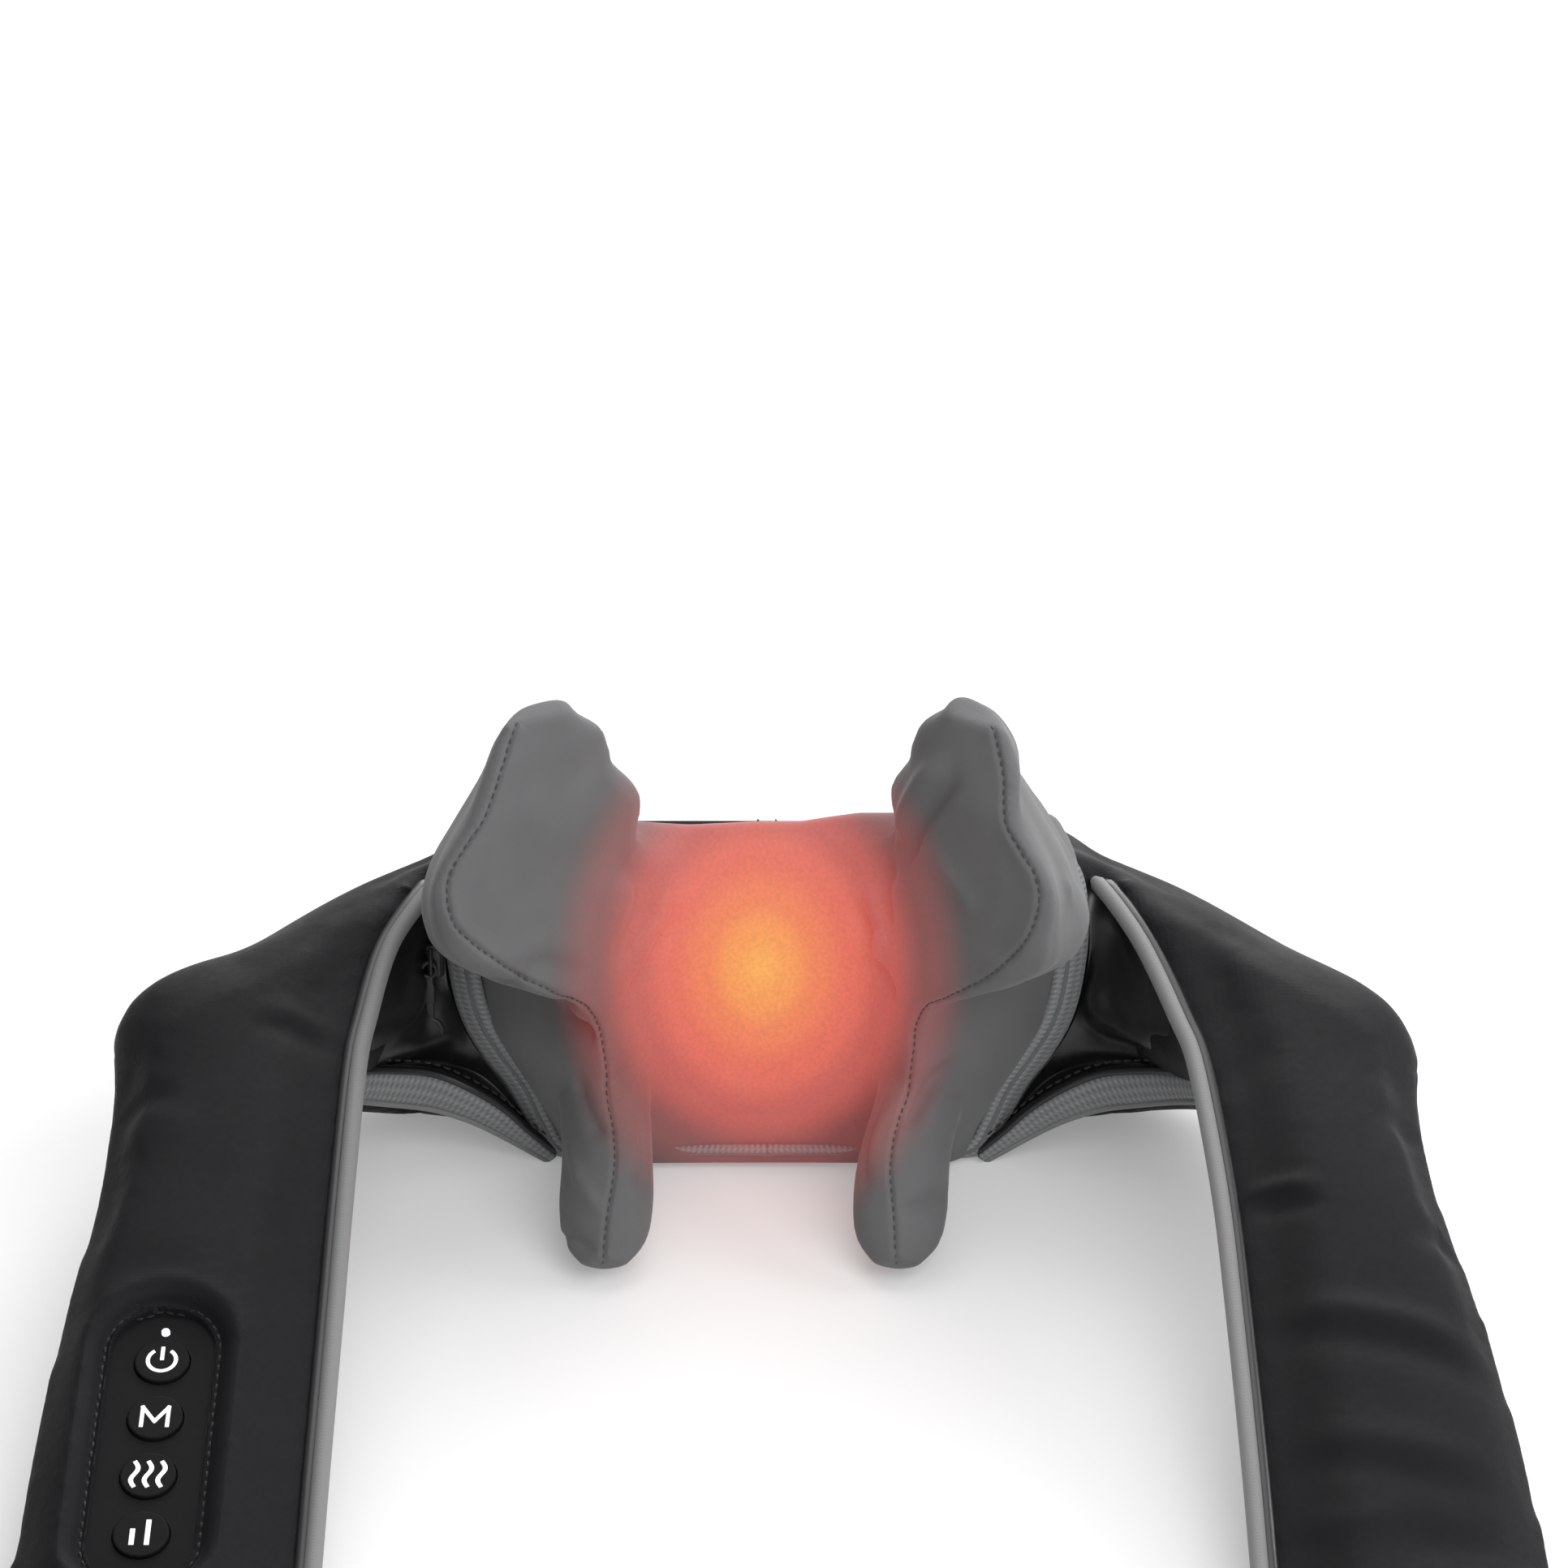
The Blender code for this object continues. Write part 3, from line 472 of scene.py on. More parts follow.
def wovenFinish(name, low, high, pitch, roughness=0.85, specular=0.2, sheen=0.2, depth=0.00015, output="Object"):
    # threads crossing at right angles, pitch metres apart
    made = finish3d(name, high, roughness, specular, sheen=sheen)
    where = place(made, output)
    bands = []
    for direction in "XYZ" if output == "Object" else "XY":
        band = node(made, "TexWave", Scale=math.pi / (10 * pitch) * 2, Distortion=0.6)
        band.bands_direction = direction
        band.inputs["Detail Scale"].default_value = 2
        wire(made, (where, 0), (band, "Vector"))
        bands.append(band)
    height = bands[0]
    for band in bands[1:]:
        height = reckon(made, "ADD", (height, 0 if height is not bands[0] else "Fac"), (band, "Fac"))
    height = reckon(made, "DIVIDE", (height, 0), len(bands))
    relief(made, (height, 0), 0.5, depth)
    tint(made, (height, 0), low, high)
    return made


# a painted glow: where the heat lamp behind the cover shines through, the knit and zip tape emit its red light
glow = {
    "centre": (-1.5, -8, 70),
    "tilt": math.radians(27),
    "reach": 0.061,
    "stretch": 0.35,  # the lamp's light carries further forward than across
    "taller": 1.26,
    # share of the reach, light
    "light": [
        (0.0, (0.86, 0.370, 0.055)),
        (0.14, (0.83, 0.270, 0.050)),
        (0.26, (0.77, 0.165, 0.052)),
        (0.42, (0.68, 0.100, 0.056)),
        (0.58, (0.46, 0.055, 0.040)),
        (0.78, (0.15, 0.014, 0.012)),
        (1.0, (0.0, 0.0, 0.0)),
    ],
}


def paintedLampGlow(made):
    # distance from the lamp as a share of its reach, and the painted glow there
    lamp = node(made, "Mapping", vector_type="TEXTURE")
    lamp.inputs["Location"].default_value = pod(*glow["centre"])
    lamp.inputs["Rotation"].default_value = (-glow["tilt"], 0, 0)
    lamp.inputs["Scale"].default_value = (1, 1 / glow["stretch"], glow["taller"])
    source = node(made, "TexCoord")
    wire(made, (source, "Object"), (lamp, "Vector"))
    far = node(made, "VectorMath", operation="LENGTH")
    wire(made, (lamp, 0), (far, 0))
    share = spread(made, (far, "Value"), 0, glow["reach"], 0, 1)
    light = node(made, "ValToRGB")
    light.color_ramp.interpolation = "EASE"
    stops = light.color_ramp.elements
    for i, (at, colour) in enumerate(glow["light"]):
        stop = stops[i] if i < 1 else stops.new(at) if i < len(glow["light"]) - 1 else stops[-1]
        stop.position = at
        stop.color = (*colour, 1)
    wire(made, (share, 0), (light, "Fac"))
    return share, light


def knitFinish():
    # thin stretch knit; the heat lamp's light through it is a painted glow, emitted from the knit itself
    made = finish3d("greyKnit", (0.108, 0.108, 0.111), 0.82, 0.22, sheen=0.1)
    where = place(made)
    fine = node(made, "TexWave", Scale=230, Distortion=1.2)
    fine.inputs["Detail Scale"].default_value = 3
    fine.bands_direction = "DIAGONAL"
    wire(made, (where, 0), (fine, "Vector"))
    fuzz = grain(made, where, 2600, 2)
    height = reckon(made, "ADD", (fine, "Fac"), (fuzz, 0))
    relief(made, (height, 0), 0.12, 0.00008)
    cloudy = grain(made, where, 55, 4)
    cloth = node(made, "ValToRGB")
    cloth.color_ramp.elements[0].color = (0.088, 0.088, 0.091, 1)
    cloth.color_ramp.elements[1].color = (0.124, 0.124, 0.127, 1)
    wire(made, (cloudy, 0), (cloth, "Fac"))
    share, light = paintedLampGlow(made)
    # painted glow: the knit's base colour is tinted red near the lamp, standing in for the lamp's red light in its
    # folds
    paintedRedMix = node(made, "Mix", data_type="RGBA", blend_type="MULTIPLY")
    paintedRedTint = node(made, "ValToRGB")
    paintedRedTint.color_ramp.elements[0].color = (1.0, 0.7, 0.55, 1)
    paintedRedTint.color_ramp.elements[1].color = (1, 1, 1, 1)
    middle = paintedRedTint.color_ramp.elements.new(0.62)
    middle.color = (1.0, 0.78, 0.75, 1)
    wire(made, (share, 0), (paintedRedTint, "Fac"))
    paintedRedMix.inputs[0].default_value = 1
    wire(made, (cloth, "Color"), (paintedRedMix, 6))
    wire(made, (paintedRedTint, "Color"), (paintedRedMix, 7))
    wire(made, (paintedRedMix, 2), (shaderOf(made), "Base Color"))
    # the painted glow is a little weaker on the threads than in the gaps
    dapple = spread(made, (grain(made, where, 900, 3), 0), 0.3, 0.7, 0.88, 1.06)
    lit = node(made, "VectorMath", operation="SCALE")
    wire(made, (light, "Color"), (lit, 0))
    wire(made, (dapple, 0), (lit, "Scale"))
    wire(made, (lit, 0), (shaderOf(made), "Emission Color"))
    shaderOf(made).inputs["Emission Strength"].default_value = 1.0
    return made


def tapeFinish(name, low, high):
    # ribbed zip tape: fine ribs across, a herringbone of threads between
    made = finish3d(name, high, 0.7, 0.35, sheen=0.15)
    where = place(made, "UV")
    ribs = node(made, "TexWave", Scale=180, Distortion=0.3)
    ribs.bands_direction = "X"
    wire(made, (where, 0), (ribs, "Vector"))
    rows = node(made, "TexWave", Scale=90, Distortion=0.4)
    rows.bands_direction = "Y"
    wire(made, (where, 0), (rows, "Vector"))
    slanted = place(made, "UV", turn=(0, 0, math.radians(38)))
    twill = node(made, "TexWave", Scale=210, Distortion=0.5)
    wire(made, (slanted, 0), (twill, "Vector"))
    height = reckon(made, "ADD", (ribs, "Fac"), (reckon(made, "MULTIPLY", (rows, "Fac"), 0.7), 0))
    height = reckon(made, "ADD", (height, 0), (reckon(made, "MULTIPLY", (twill, "Fac"), 0.6), 0))
    height = reckon(made, "DIVIDE", (height, 0), 2.3)
    relief(made, (height, 0), 0.7, 0.0003)
    tint(made, (height, 0), low, high)
    # painted glow: the tape emits the heat lamp's red light near the lamp
    _, light = paintedLampGlow(made)
    wire(made, (light, "Color"), (shaderOf(made), "Emission Color"))
    shaderOf(made).inputs["Emission Strength"].default_value = 0.75
    return made


greyKnit = knitFinish()
blackLeather = leatherFinish("blackLeatherette", (0.0045, 0.0047, 0.0054), (0.0085, 0.0088, 0.0100), 0.62, 0.12)
satinLining = leatherFinish("satinLining", (0.0035, 0.0035, 0.004), (0.006, 0.006, 0.0068), 0.33, 0.6, 2600, 0.00006)
greyPiping = wovenFinish("greyPiping", (0.135, 0.137, 0.135), (0.20, 0.202, 0.20), 0.0006, 0.62, 0.3, 0.1, 0.00006)
zipTape = tapeFinish("zipTape", (0.10, 0.106, 0.107), (0.24, 0.25, 0.252))
blackWebbing = wovenFinish("blackWebbing", (0.006, 0.006, 0.007), (0.022, 0.022, 0.023), 0.0011, depth=0.0003)
blackThread = wovenFinish("blackThread", (0.004, 0.004, 0.004), (0.014, 0.014, 0.015), 0.0003, 0.7, 0.3)
greyThread = wovenFinish("greyThread", (0.03, 0.03, 0.032), (0.07, 0.07, 0.073), 0.0003, 0.75, 0.3)
blackPlastic = plasticFinish("blackPlastic", (0.012, 0.012, 0.013), (0.018, 0.018, 0.019), 0.38)
keySilicone = plasticFinish("keySilicone", (0.0045, 0.0045, 0.005), (0.007, 0.007, 0.008), 0.6, 0.1, 1500)
whiteNylon = plasticFinish("whiteNylon", (0.7, 0.7, 0.66), (0.78, 0.78, 0.74), 0.45)
clawFoam = plasticFinish("clawFoam", (0.08, 0.08, 0.082), (0.12, 0.12, 0.122), 0.9, 0.1, 1300)
brightSteel = metalFinish("brightSteel", (0.50, 0.50, 0.51), (0.66, 0.66, 0.67), 0.28)
warmBrass = metalFinish("warmBrass", (0.70, 0.50, 0.24), (0.82, 0.62, 0.32), 0.34)
paleAluminium = metalFinish("paleAluminium", (0.70, 0.70, 0.71), (0.78, 0.78, 0.79), 0.4)
greenBoard = plasticFinish("greenBoard", (0.015, 0.10, 0.04), (0.02, 0.14, 0.06), 0.45, 0.5, 300)
blueWrap = plasticFinish("blueWrap", (0.04, 0.17, 0.30), (0.05, 0.21, 0.38), 0.35, 0.5)
glowingMarkWhite = plasticFinish("glowingMarkWhite", (0.80, 0.80, 0.80), (0.86, 0.86, 0.86), 0.55, 0.3)
lampWhite = plasticFinish("lampWhite", (0.85, 0.93, 0.96), (0.92, 0.98, 1.0), 0.3, 0.5)
shaderOf(lampWhite).inputs["Emission Color"].default_value = (0.82, 0.97, 1.0, 1)
shaderOf(lampWhite).inputs["Emission Strength"].default_value = 1.6
# painted glow: the printed key marks emit a little white light so they read brighter than the lamps make them
shaderOf(glowingMarkWhite).inputs["Emission Color"].default_value = (1, 1, 1, 1)
shaderOf(glowingMarkWhite).inputs["Emission Strength"].default_value = 0.25

cadFinishes = {
    "black_leatherette": blackLeather,
    "black_lining": satinLining,
    "grey_knit": greyKnit,
    "light_grey_piping": greyPiping,
    "zip_tape": zipTape,
    "webbing": blackWebbing,
    "black_plastic": blackPlastic,
    "white_nylon": whiteNylon,
    "claw_foam": clawFoam,
    "key_silicone": keySilicone,
    "steel": brightSteel,
    "brass": warmBrass,
    "aluminium": paleAluminium,
    "circuit_board": greenBoard,
    "cell_wrap": blueWrap,
    "lens": lampWhite,
}


def dress(piece, material, body=None):
    piece.data.materials.clear()
    piece.data.materials.append(material)
    if body:
        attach(piece, body)
    return piece


for name, part in nodes.items():
    for i, material in enumerate(part.data.materials):
        part.data.materials[i] = cadFinishes[material.name.split(".")[0]]
print("finishes made")


# the knitted cover

cover = {
    "foldShare": 1.6,
    # place across, and how much higher or lower the top edge is there
    "topEdge": [(-38, 0), (-22, -1.2), (-4, -0.2), (10, 0), (18, 1.4), (26, 2.6), (34, 2.6)],
    "voxel": 0.0013,
    "softening": 7,
    "turn": math.radians(-6),  # the right claw rests turned inwards
    "pivot": (42, 22),
    "seamGroove": 0.0009,
    "stitchPitch": 0.0026,
    # height, centre depth, then side and depth of web, inner face, ridge, flank, outer, edge
    "body": [
        (1.5, -3, ((28, -3), (42, -3), (50, -3), (55, -1), (59, 3), (59, 10))),
        (11, -5, ((28, -6), (40, -9), (48, -11), (55, -8), (60, -1), (62, 8))),
        (22, -6, ((26, -8), (36, -16), (45, -24), (55, -18), (64, -4), (68, 7))),
        (34, -7, ((24, -8.5), (35, -19), (44.5, -31), (57, -20), (69, -5), (75, 6))),
        (46, -8, ((23, -9), (35, -18), (45, -27.5), (58, -17), (74, -4), (81, 6))),
        (60, -8, ((22, -9), (35, -18), (46.5, -28), (58, -12), (75, -1), (85, 7))),
        (72, -8, ((22, -9), (36, -21), (50.5, -34), (62, -15), (80, -2), (88, 7))),
        (82, -8, ((22, -9), (38, -25), (59, -46), (72, -32), (84, -12), (89, 6))),
        (92, -6, ((23, -8), (40, -25), (68, -53), (88, -42), (92.5, -20), (88, 4))),
        (102, -2, ((25, -4), (41, -22), (77, -58), (92, -38), (93, -18), (82, 4))),
        (106.5, 1.5, ((25, 0.5), (40, -14), (74, -40), (86, -30), (88, -14), (76, 6))),
        (109, 4.2, ((25, 3.6), (40, 0), (60, -6), (70, -6), (72, -2), (66, 4.4))),
    ],
    # height, then side and depth of ridge, front, outer, back, inner, neck
    "upper": [
        (84, ((60, -46), (79, -38), (86, -22), (76, 0), (46, -2), (41, -20))),
        (98, ((76, -58), (91, -42), (94, -22), (82, 4), (46, 4), (38, -18))),
        (112, ((83, -61), (92, -40), (91, -20), (78, 4), (46, 4), (38, -12))),
        (124, ((84.5, -59), (87, -38), (84, -18), (70, 2), (45, 3), (37, -13))),
        (136, ((77.5, -52), (80, -34), (77, -18), (64, -3), (48, -5), (43.5, -19))),
        (142, ((75, -48), (77, -33), (74, -18), (62, -5), (47.5, -9), (44.5, -20))),
        (150, ((72, -43), (74, -31), (71, -19), (61, -9), (48, -14), (46.5, -23))),
        (155, ((70.5, -39), (71.5, -31), (67, -21), (58, -14), (52, -18), (51, -26))),
        (159.5, ((68.5, -35.5), (68.5, -30), (65, -23), (57, -19), (53.5, -21), (55, -28.5))),
    ],
    # side, depth and height of ridge, upper outer, outer, under, inner, upper inner
    "lower": [
        ((46, -8, 58), (58, -2, 50), (60, 2, 38), (47, 2, 26), (34, 2, 38), (35, -2, 50)),
        ((44.5, -31, 41), (54, -26, 39), (58.5, -18, 29), (46, -8, 14), (33.5, -18, 29), (35, -26, 39)),
        ((43.5, -45, 34), (52, -42, 32.5), (57.5, -33, 21), (45, -22, 5.5), (32.5, -33, 21), (34.5, -42, 32.5)),
        ((43.5, -54, 28.5), (52, -52, 26), (58, -46, 14), (45, -36, 3), (32, -46, 14), (34.5, -52, 26)),
        ((44, -62, 19.5), (51.5, -60.5, 18), (56.5, -57, 9.5), (45, -50, 2.2), (33.5, -57, 9.5), (36.5, -60.5, 18)),
        ((45, -67, 10), (49.5, -66, 9), (51, -64, 6), (45, -61, 3), (39, -64, 6), (40.5, -66, 9)),
    ],
    "seam": [
        (-66, -33, 162), (-71, -42, 149), (-75, -50, 138.5), (-83, -57, 129), (-85, -60, 122), (-83, -61, 112),
        (-75, -58, 102), (-67, -52, 92), (-54, -40, 78), (-47, -30, 63), (-45, -26, 49), (-44.6, -30, 42),
        (-42.5, -42, 35), (-42, -52, 30.6), (-44, -60, 19.7), (-45.4, -66, 6.3),
    ],
}


def across(rows, steps):
    # more rows between the given ones
    return [list(row) for row in zip(*(curveThrough(list(track), steps) for track in zip(*rows)))]


def coverBodyShape():
    rows = []
    for height, middle, half in cover["body"]:
        front = [pod(-x, y, height) for x, y in reversed(half)] + [pod(0, middle, height)]
        front += [pod(x, y, height) for x, y in half]
        rows.append(front)
    rings = []
    for row in across(rows, 4):
        front = curveThrough(row, 4)
        depth = min(19, 20 - (front[0].z * 1000 - 101.8) / 0.52)  # the top rolls back over the frame
        back = [pod(p.x * 1000, depth, p.z * 1000) for p in (front[-1], front[0])]
        rings.append(front + back)
    return lofted("coverBody", rings)


def prongShape(name, rings):
    return lofted(name, [loopThrough(ring, 4) for ring in across(rings, 4)])


def turnRight(co):
    # turns what lies in front of the right-hand pivot inwards
    x, y = co[:, 0] * 1000, (co[:, 1] - footY) * 1000
    weight = softStep((0.5 * x - y - 18) / 42) * softStep((x - 8) / 24)
    px, py = cover["pivot"]
    angle = cover["turn"] * weight
    dx, dy = x - px, y - py
    out = co.copy()
    out[:, 0] = (px + dx * np.cos(angle) - dy * np.sin(angle)) * 0.001
    out[:, 1] = (py + dx * np.sin(angle) + dy * np.cos(angle)) * 0.001 + footY
    z = co[:, 2] * 1000
    out[:, 0] -= 0.0035 * weight * softStep((z - 96) / 16) * (1 - softStep((z - 138) / 14))
    return out


def mirrored(points, side):
    # points given for the left-hand side, on the side asked for
    return [pod(-side * x, y, z) for x, y, z in points]


def coverLine(points, side):
    line = mirrored(points, side)
    if side == left:
        return line
    turned = turnRight(np.array([tuple(p) for p in line]))
    return [Vector(p) for p in turned]


def buildCover():
    shapes = [coverBodyShape()]
    for side in sides.values():
        upper = [[pod(side * x, y, z) for x, y in ring] for z, ring in cover["upper"]]
        lower = [[pod(side * x, y, z) for x, y, z in ring] for ring in cover["lower"]]
        shapes += [prongShape("upper", upper), prongShape("lower", lower)]
    whole = joined("cover", shapes)
    finish(whole, "REMESH", mode="VOXEL", voxel_size=cover["voxel"])
    finish(whole, "SMOOTH", factor=0.5, iterations=cover["softening"])
    co = turnRight(pointsOf(whole))
    # the top edge isn't quite level
    x = co[:, 0] * 1000
    level = np.interp(x, *zip(*cover["topEdge"]))
    near = softStep((co[:, 2] - 0.088) / 0.016) * softStep((co[:, 1] - footY + 0.03) / 0.02)
    co[:, 2] += level * 0.001 * near
    setPoints(whole, co)
    return whole


coverFolds = {
    # way of the fold on the left-hand claw, depth (below zero for a ridge), width
    "left": [
        ([(-36, -20, 112), (-33, -14, 100), (-40, -17, 88), (-50, -26, 80)], 0.0022, 0.0045),
        ([(-24, -9, 92), (-30, -10, 84), (-38, -15, 74), (-44, -22, 68)], 0.0016, 0.0028),
        ([(-26, -9, 96), (-33, -12, 87), (-42, -19, 78)], -0.0013, 0.0026),
        ([(-80, -52, 98), (-68, -44, 93), (-58, -36, 86), (-50, -28, 76)], 0.0012, 0.003),
        ([(-60, -14, 62), (-52, -20, 60), (-46, -26, 58)], 0.0024, 0.0026),
        ([(-66, -8, 66), (-56, -16, 64), (-48, -26, 64)], -0.0012, 0.0028),
        ([(-56, -22, 44), (-50, -33, 38), (-44, -42, 30)], 0.0012, 0.0022),
        ([(-57, -34, 30), (-50, -46, 26), (-44, -57, 16)], -0.0009, 0.002),
        ([(-36, -30, 40), (-35, -42, 30), (-38, -56, 22)], 0.0011, 0.002),
        ([(-55, -44, 14), (-50, -56, 12), (-45, -64, 10)], 0.0009, 0.0018),
    ],
    "right": [
        ([(-60, -30, 148), (-52, -26, 138), (-42, -20, 124), (-36, -16, 112)], -0.0017, 0.0034),
        ([(-64, -34, 146), (-57, -32, 136), (-48, -26, 121), (-40, -20, 108)], 0.0016, 0.0026),
        ([(-36, -17, 110), (-34, -13, 98), (-42, -18, 84)], 0.0021, 0.004),
        ([(-24, -9, 94), (-30, -11, 84), (-38, -16, 74), (-44, -22, 66)], 0.0019, 0.0028),
        ([(-27, -10, 98), (-34, -14, 88), (-42, -20, 78)], -0.0015, 0.0026),
        ([(-88, -34, 92), (-74, -36, 84), (-60, -34, 78), (-50, -28, 70)], 0.0023, 0.003),
        ([(-58, -16, 46), (-50, -28, 42), (-44, -40, 33)], 0.0014, 0.0024),
        ([(-36, -26, 42), (-34, -40, 32), (-38, -56, 22)], 0.0012, 0.0022),
        ([(-56, -40, 18), (-50, -52, 20), (-44, -60, 19)], 0.001, 0.0018),
        ([(-66, -24, 120), (-76, -34, 110), (-86, -40, 104)], -0.001, 0.003),
    ],
}


def halfCover(whole, word, side):
    piece = whole.copy()
    piece.data = whole.data.copy()
    bpy.context.scene.collection.objects.link(piece)
    piece.name = piece.data.name = word + "Cover"
    shape = bmesh.new()
    shape.from_mesh(piece.data)
    parts = shape.verts[:] + shape.edges[:] + shape.faces[:]
    bmesh.ops.bisect_plane(shape, geom=parts, dist=1e-7, plane_co=(0, 0, 0), plane_no=(-side, 0, 0), clear_outer=True)
    shape.to_mesh(piece.data)
    shape.free()
    piece.data.shade_smooth()
    seam = evenly(curveThrough(coverLine(cover["seam"], side), 8), 90)
    seam, _ = onSurface(piece, seam)
    finerNear(piece, lambda co: toLine(co, seam)[0] < 0.0045)
    finerNear(piece, lambda co: toLine(co, seam)[0] < 0.0022)
    for points, depth, width in coverFolds[word]:
        line, _ = onSurface(piece, curveThrough(coverLine(points, side), 6))
        pressFold(piece, line, depth * cover["foldShare"], width * 1.1)
    seam, _ = onSurface(piece, seam)
    pressFold(piece, seam, -0.0006, 0.0035, 0.02)
    pressFold(piece, seam, cover["seamGroove"] + 0.0006, 0.0008, 0.02)
    line, facing = onSurface(piece, seam)
    threads = stitches(word + "CoverStitches", line, facing, cover["stitchPitch"], 0.0017, 0.00022, 0.0001)
    dress(piece, greyKnit)
    dress(threads, greyThread)
    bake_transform(piece)
    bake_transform(threads)
    return piece


wholeCover = buildCover()
covers = {word: halfCover(wholeCover, word, side) for word, side in sides.items()}
removePiece(wholeCover)
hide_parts("cover_panel", "left_upper_pad", "left_lower_pad")
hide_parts("right_upper_pad", "right_lower_pad")
print("cover made")


# the padded black body: back, shoulders and arms

shell = {
    "stretch": 12,
    "bending": 0.6,
    "moments": 20,
    # the slope over the mechanism, in metres
    "top": {"height": 0.1018, "front": 0.02, "fall": 0.52, "halfWidth": 0.08},
    "voxel": 0.0034,
    "softening": 9,
    "pressure": 4.0,
    "mostSwell": 0.0035,
    "creaseShare": 0.95,
    "arm": {"fold": (-62, 57), "slope": math.radians(16), "inner": 115},
    # eight points round: neck edge, crest, outer top, outer, under outer, under, hem, lining
    "back": [
        [(-12, 10, 105), (-12, 22, 100.6), (-12, 64, 79.5), (-12, 72.5, 48), (-12, 68, 4), (-12, 50, 1.2),
            (-12, 21, 1.2), (-12, 15, 50)],
        [(38, 10, 105), (38, 22, 100.6), (38, 64, 79.5), (38, 72.5, 48), (38, 67, 4), (38, 50, 1.2), (38, 20, 1.2),
            (38, 15, 50)],
        [(62, 10, 103), (62, 22, 99.5), (62, 62, 80.5), (62, 69, 47), (62, 63, 4), (62, 45, 1.6), (62, 19, 2),
            (62, 14, 50)],
        [(82, 10, 94), (82, 24, 92), (85, 54, 79.5), (86, 60, 44), (86, 52, 6), (83, 38, 3), (80, 18, 5),
            (79, 14, 48)],
        [(94, 20, 84), (94, 31, 83), (96, 46, 75), (99, 53, 42), (100, 48, 5), (97, 34, 2.4), (96, 20, 5),
            (95, 20, 46)],
        [(102, 7, 82), (111, 17, 82), (127, 26, 70), (137, 34, 44), (132, 32, 10), (116, 22, 8), (107, 13, 12),
            (103, 12, 48)],
        [(109, -12, 77), (125, -1, 82), (149, 5, 67), (164, 7, 47), (157, 4, 26), (132, 0, 22), (113, -6, 32),
            (108, -6, 56)],
        [(113, -38, 69), (139, -25, 77), (172, -29, 75), (182, -32, 60), (172, -28, 44), (146, -31, 44),
            (121, -36, 49), (113, -38, 59)],
    ],
    # depth, width, thickness, outward tilt
    "arms": [(-62, 66, 20, 2.5), (-100, 67, 19.5, 2), (-140, 71, 19, 0), (-190, 74, 18.5, 0), (-232, 76, 18, 0)],
    "pipingFrom": [(93.3, 17, 84.5), (99, 4.5, 82.5), (105.6, -12.4, 78), (109.6, -38, 70.5), (111.2, -56, 65.5)],
    "pipingRadius": 2.35,
    "bend": ((-147, -30, 62), (-147, -92, 56)),
}


def armTop(y):
    foldY, foldZ = shell["arm"]["fold"]
    return foldZ + 11 + (y - foldY) * math.tan(shell["arm"]["slope"])


def armRing(y, middle, width, thickness, tilt):
    inner = shell["arm"]["inner"]
    outer = inner + width
    centre = (inner + outer) / 2
    return [
        (inner, y, middle - 5),
        (centre - 10, y, middle),
        (outer - 17, y, middle - tilt * 0.6),
        (outer, y, middle - 8 - tilt),
        (outer - 8, y, middle - thickness - tilt * 0.6),
        (centre, y, middle - thickness),
        (inner + 10, y, middle - thickness + 1),
        (inner, y, middle - 12.5),
    ]


def armRings():
    rings = [armRing(y, armTop(y), *size) for y, *size in shell["arms"]]
    rings += [armRing(-275, 18.2, 78, 17, 0), armRing(-315, 17.9, 78, 17, 0)]
    middle = shell["arm"]["inner"] + 39
    tip = armRing(-331, 15, 78, 12, 0)
    return rings + [[(middle + (x - middle) * 0.7, y, z + 0.5) for x, y, z in tip]]


def settled(points, side):
    # the right-hand arm lies a little further out than the left-hand one
    if side == left:
        return points
    co = np.array([tuple(p) for p in points])
    y = (co[:, 1] - footY) * 1000
    t = np.clip((co[:, 0] * 1000 - 111) / 69, 0, 1)
    inner = np.interp(-y, [10, 58, 110, 200], [0, 6.5, 10, 11])
    outer = np.interp(-y, [50, 110, 155, 200], [0, 2, 5.5, 8])
    co[:, 0] += ((1 - t) * inner + t * outer) * 0.001
    co[:, 2] -= 0.007 * t * np.exp(-(((y + 42) / 22) ** 2))  # and its corner is flatter
    return [Vector(p) for p in co]


def shellLine(points, side):
    # points given for the right-hand side, on the side asked for
    return settled([pod(side * x, y, z) for x, y, z in points], side)


def swollen(piece, hold):
    # lets air pressure round the padding out; hold is 1 where it stays as it is
    rest = pointsOf(piece)
    puff = piece.modifiers.new("puff", "CLOTH")
    puff.settings.use_pressure = True
    puff.settings.uniform_pressure_force = shell["pressure"]
    puff.settings.effector_weights.gravity = 0
    puff.settings.tension_stiffness = shell["stretch"]
    puff.settings.compression_stiffness = shell["stretch"]
    puff.settings.bending_stiffness = shell["bending"]
    puff.settings.quality = 4
    puff.point_cache.frame_end = shell["moments"]
    for moment in range(1, shell["moments"] + 1):
        bpy.context.scene.frame_set(moment)
    eased = piece.evaluated_get(bpy.context.evaluated_depsgraph_get())
    co = np.empty(len(rest) * 3)
    eased.data.vertices.foreach_get("co", co)
    move = co.reshape(-1, 3) - rest
    size = np.linalg.norm(move, axis=1)
    cap = np.minimum(1, shell["mostSwell"] / np.maximum(size, 1e-9)) * (1 - hold)
    piece.modifiers.remove(puff)
    bpy.context.scene.frame_set(1)
    setPoints(piece, rest + move * cap[:, None])


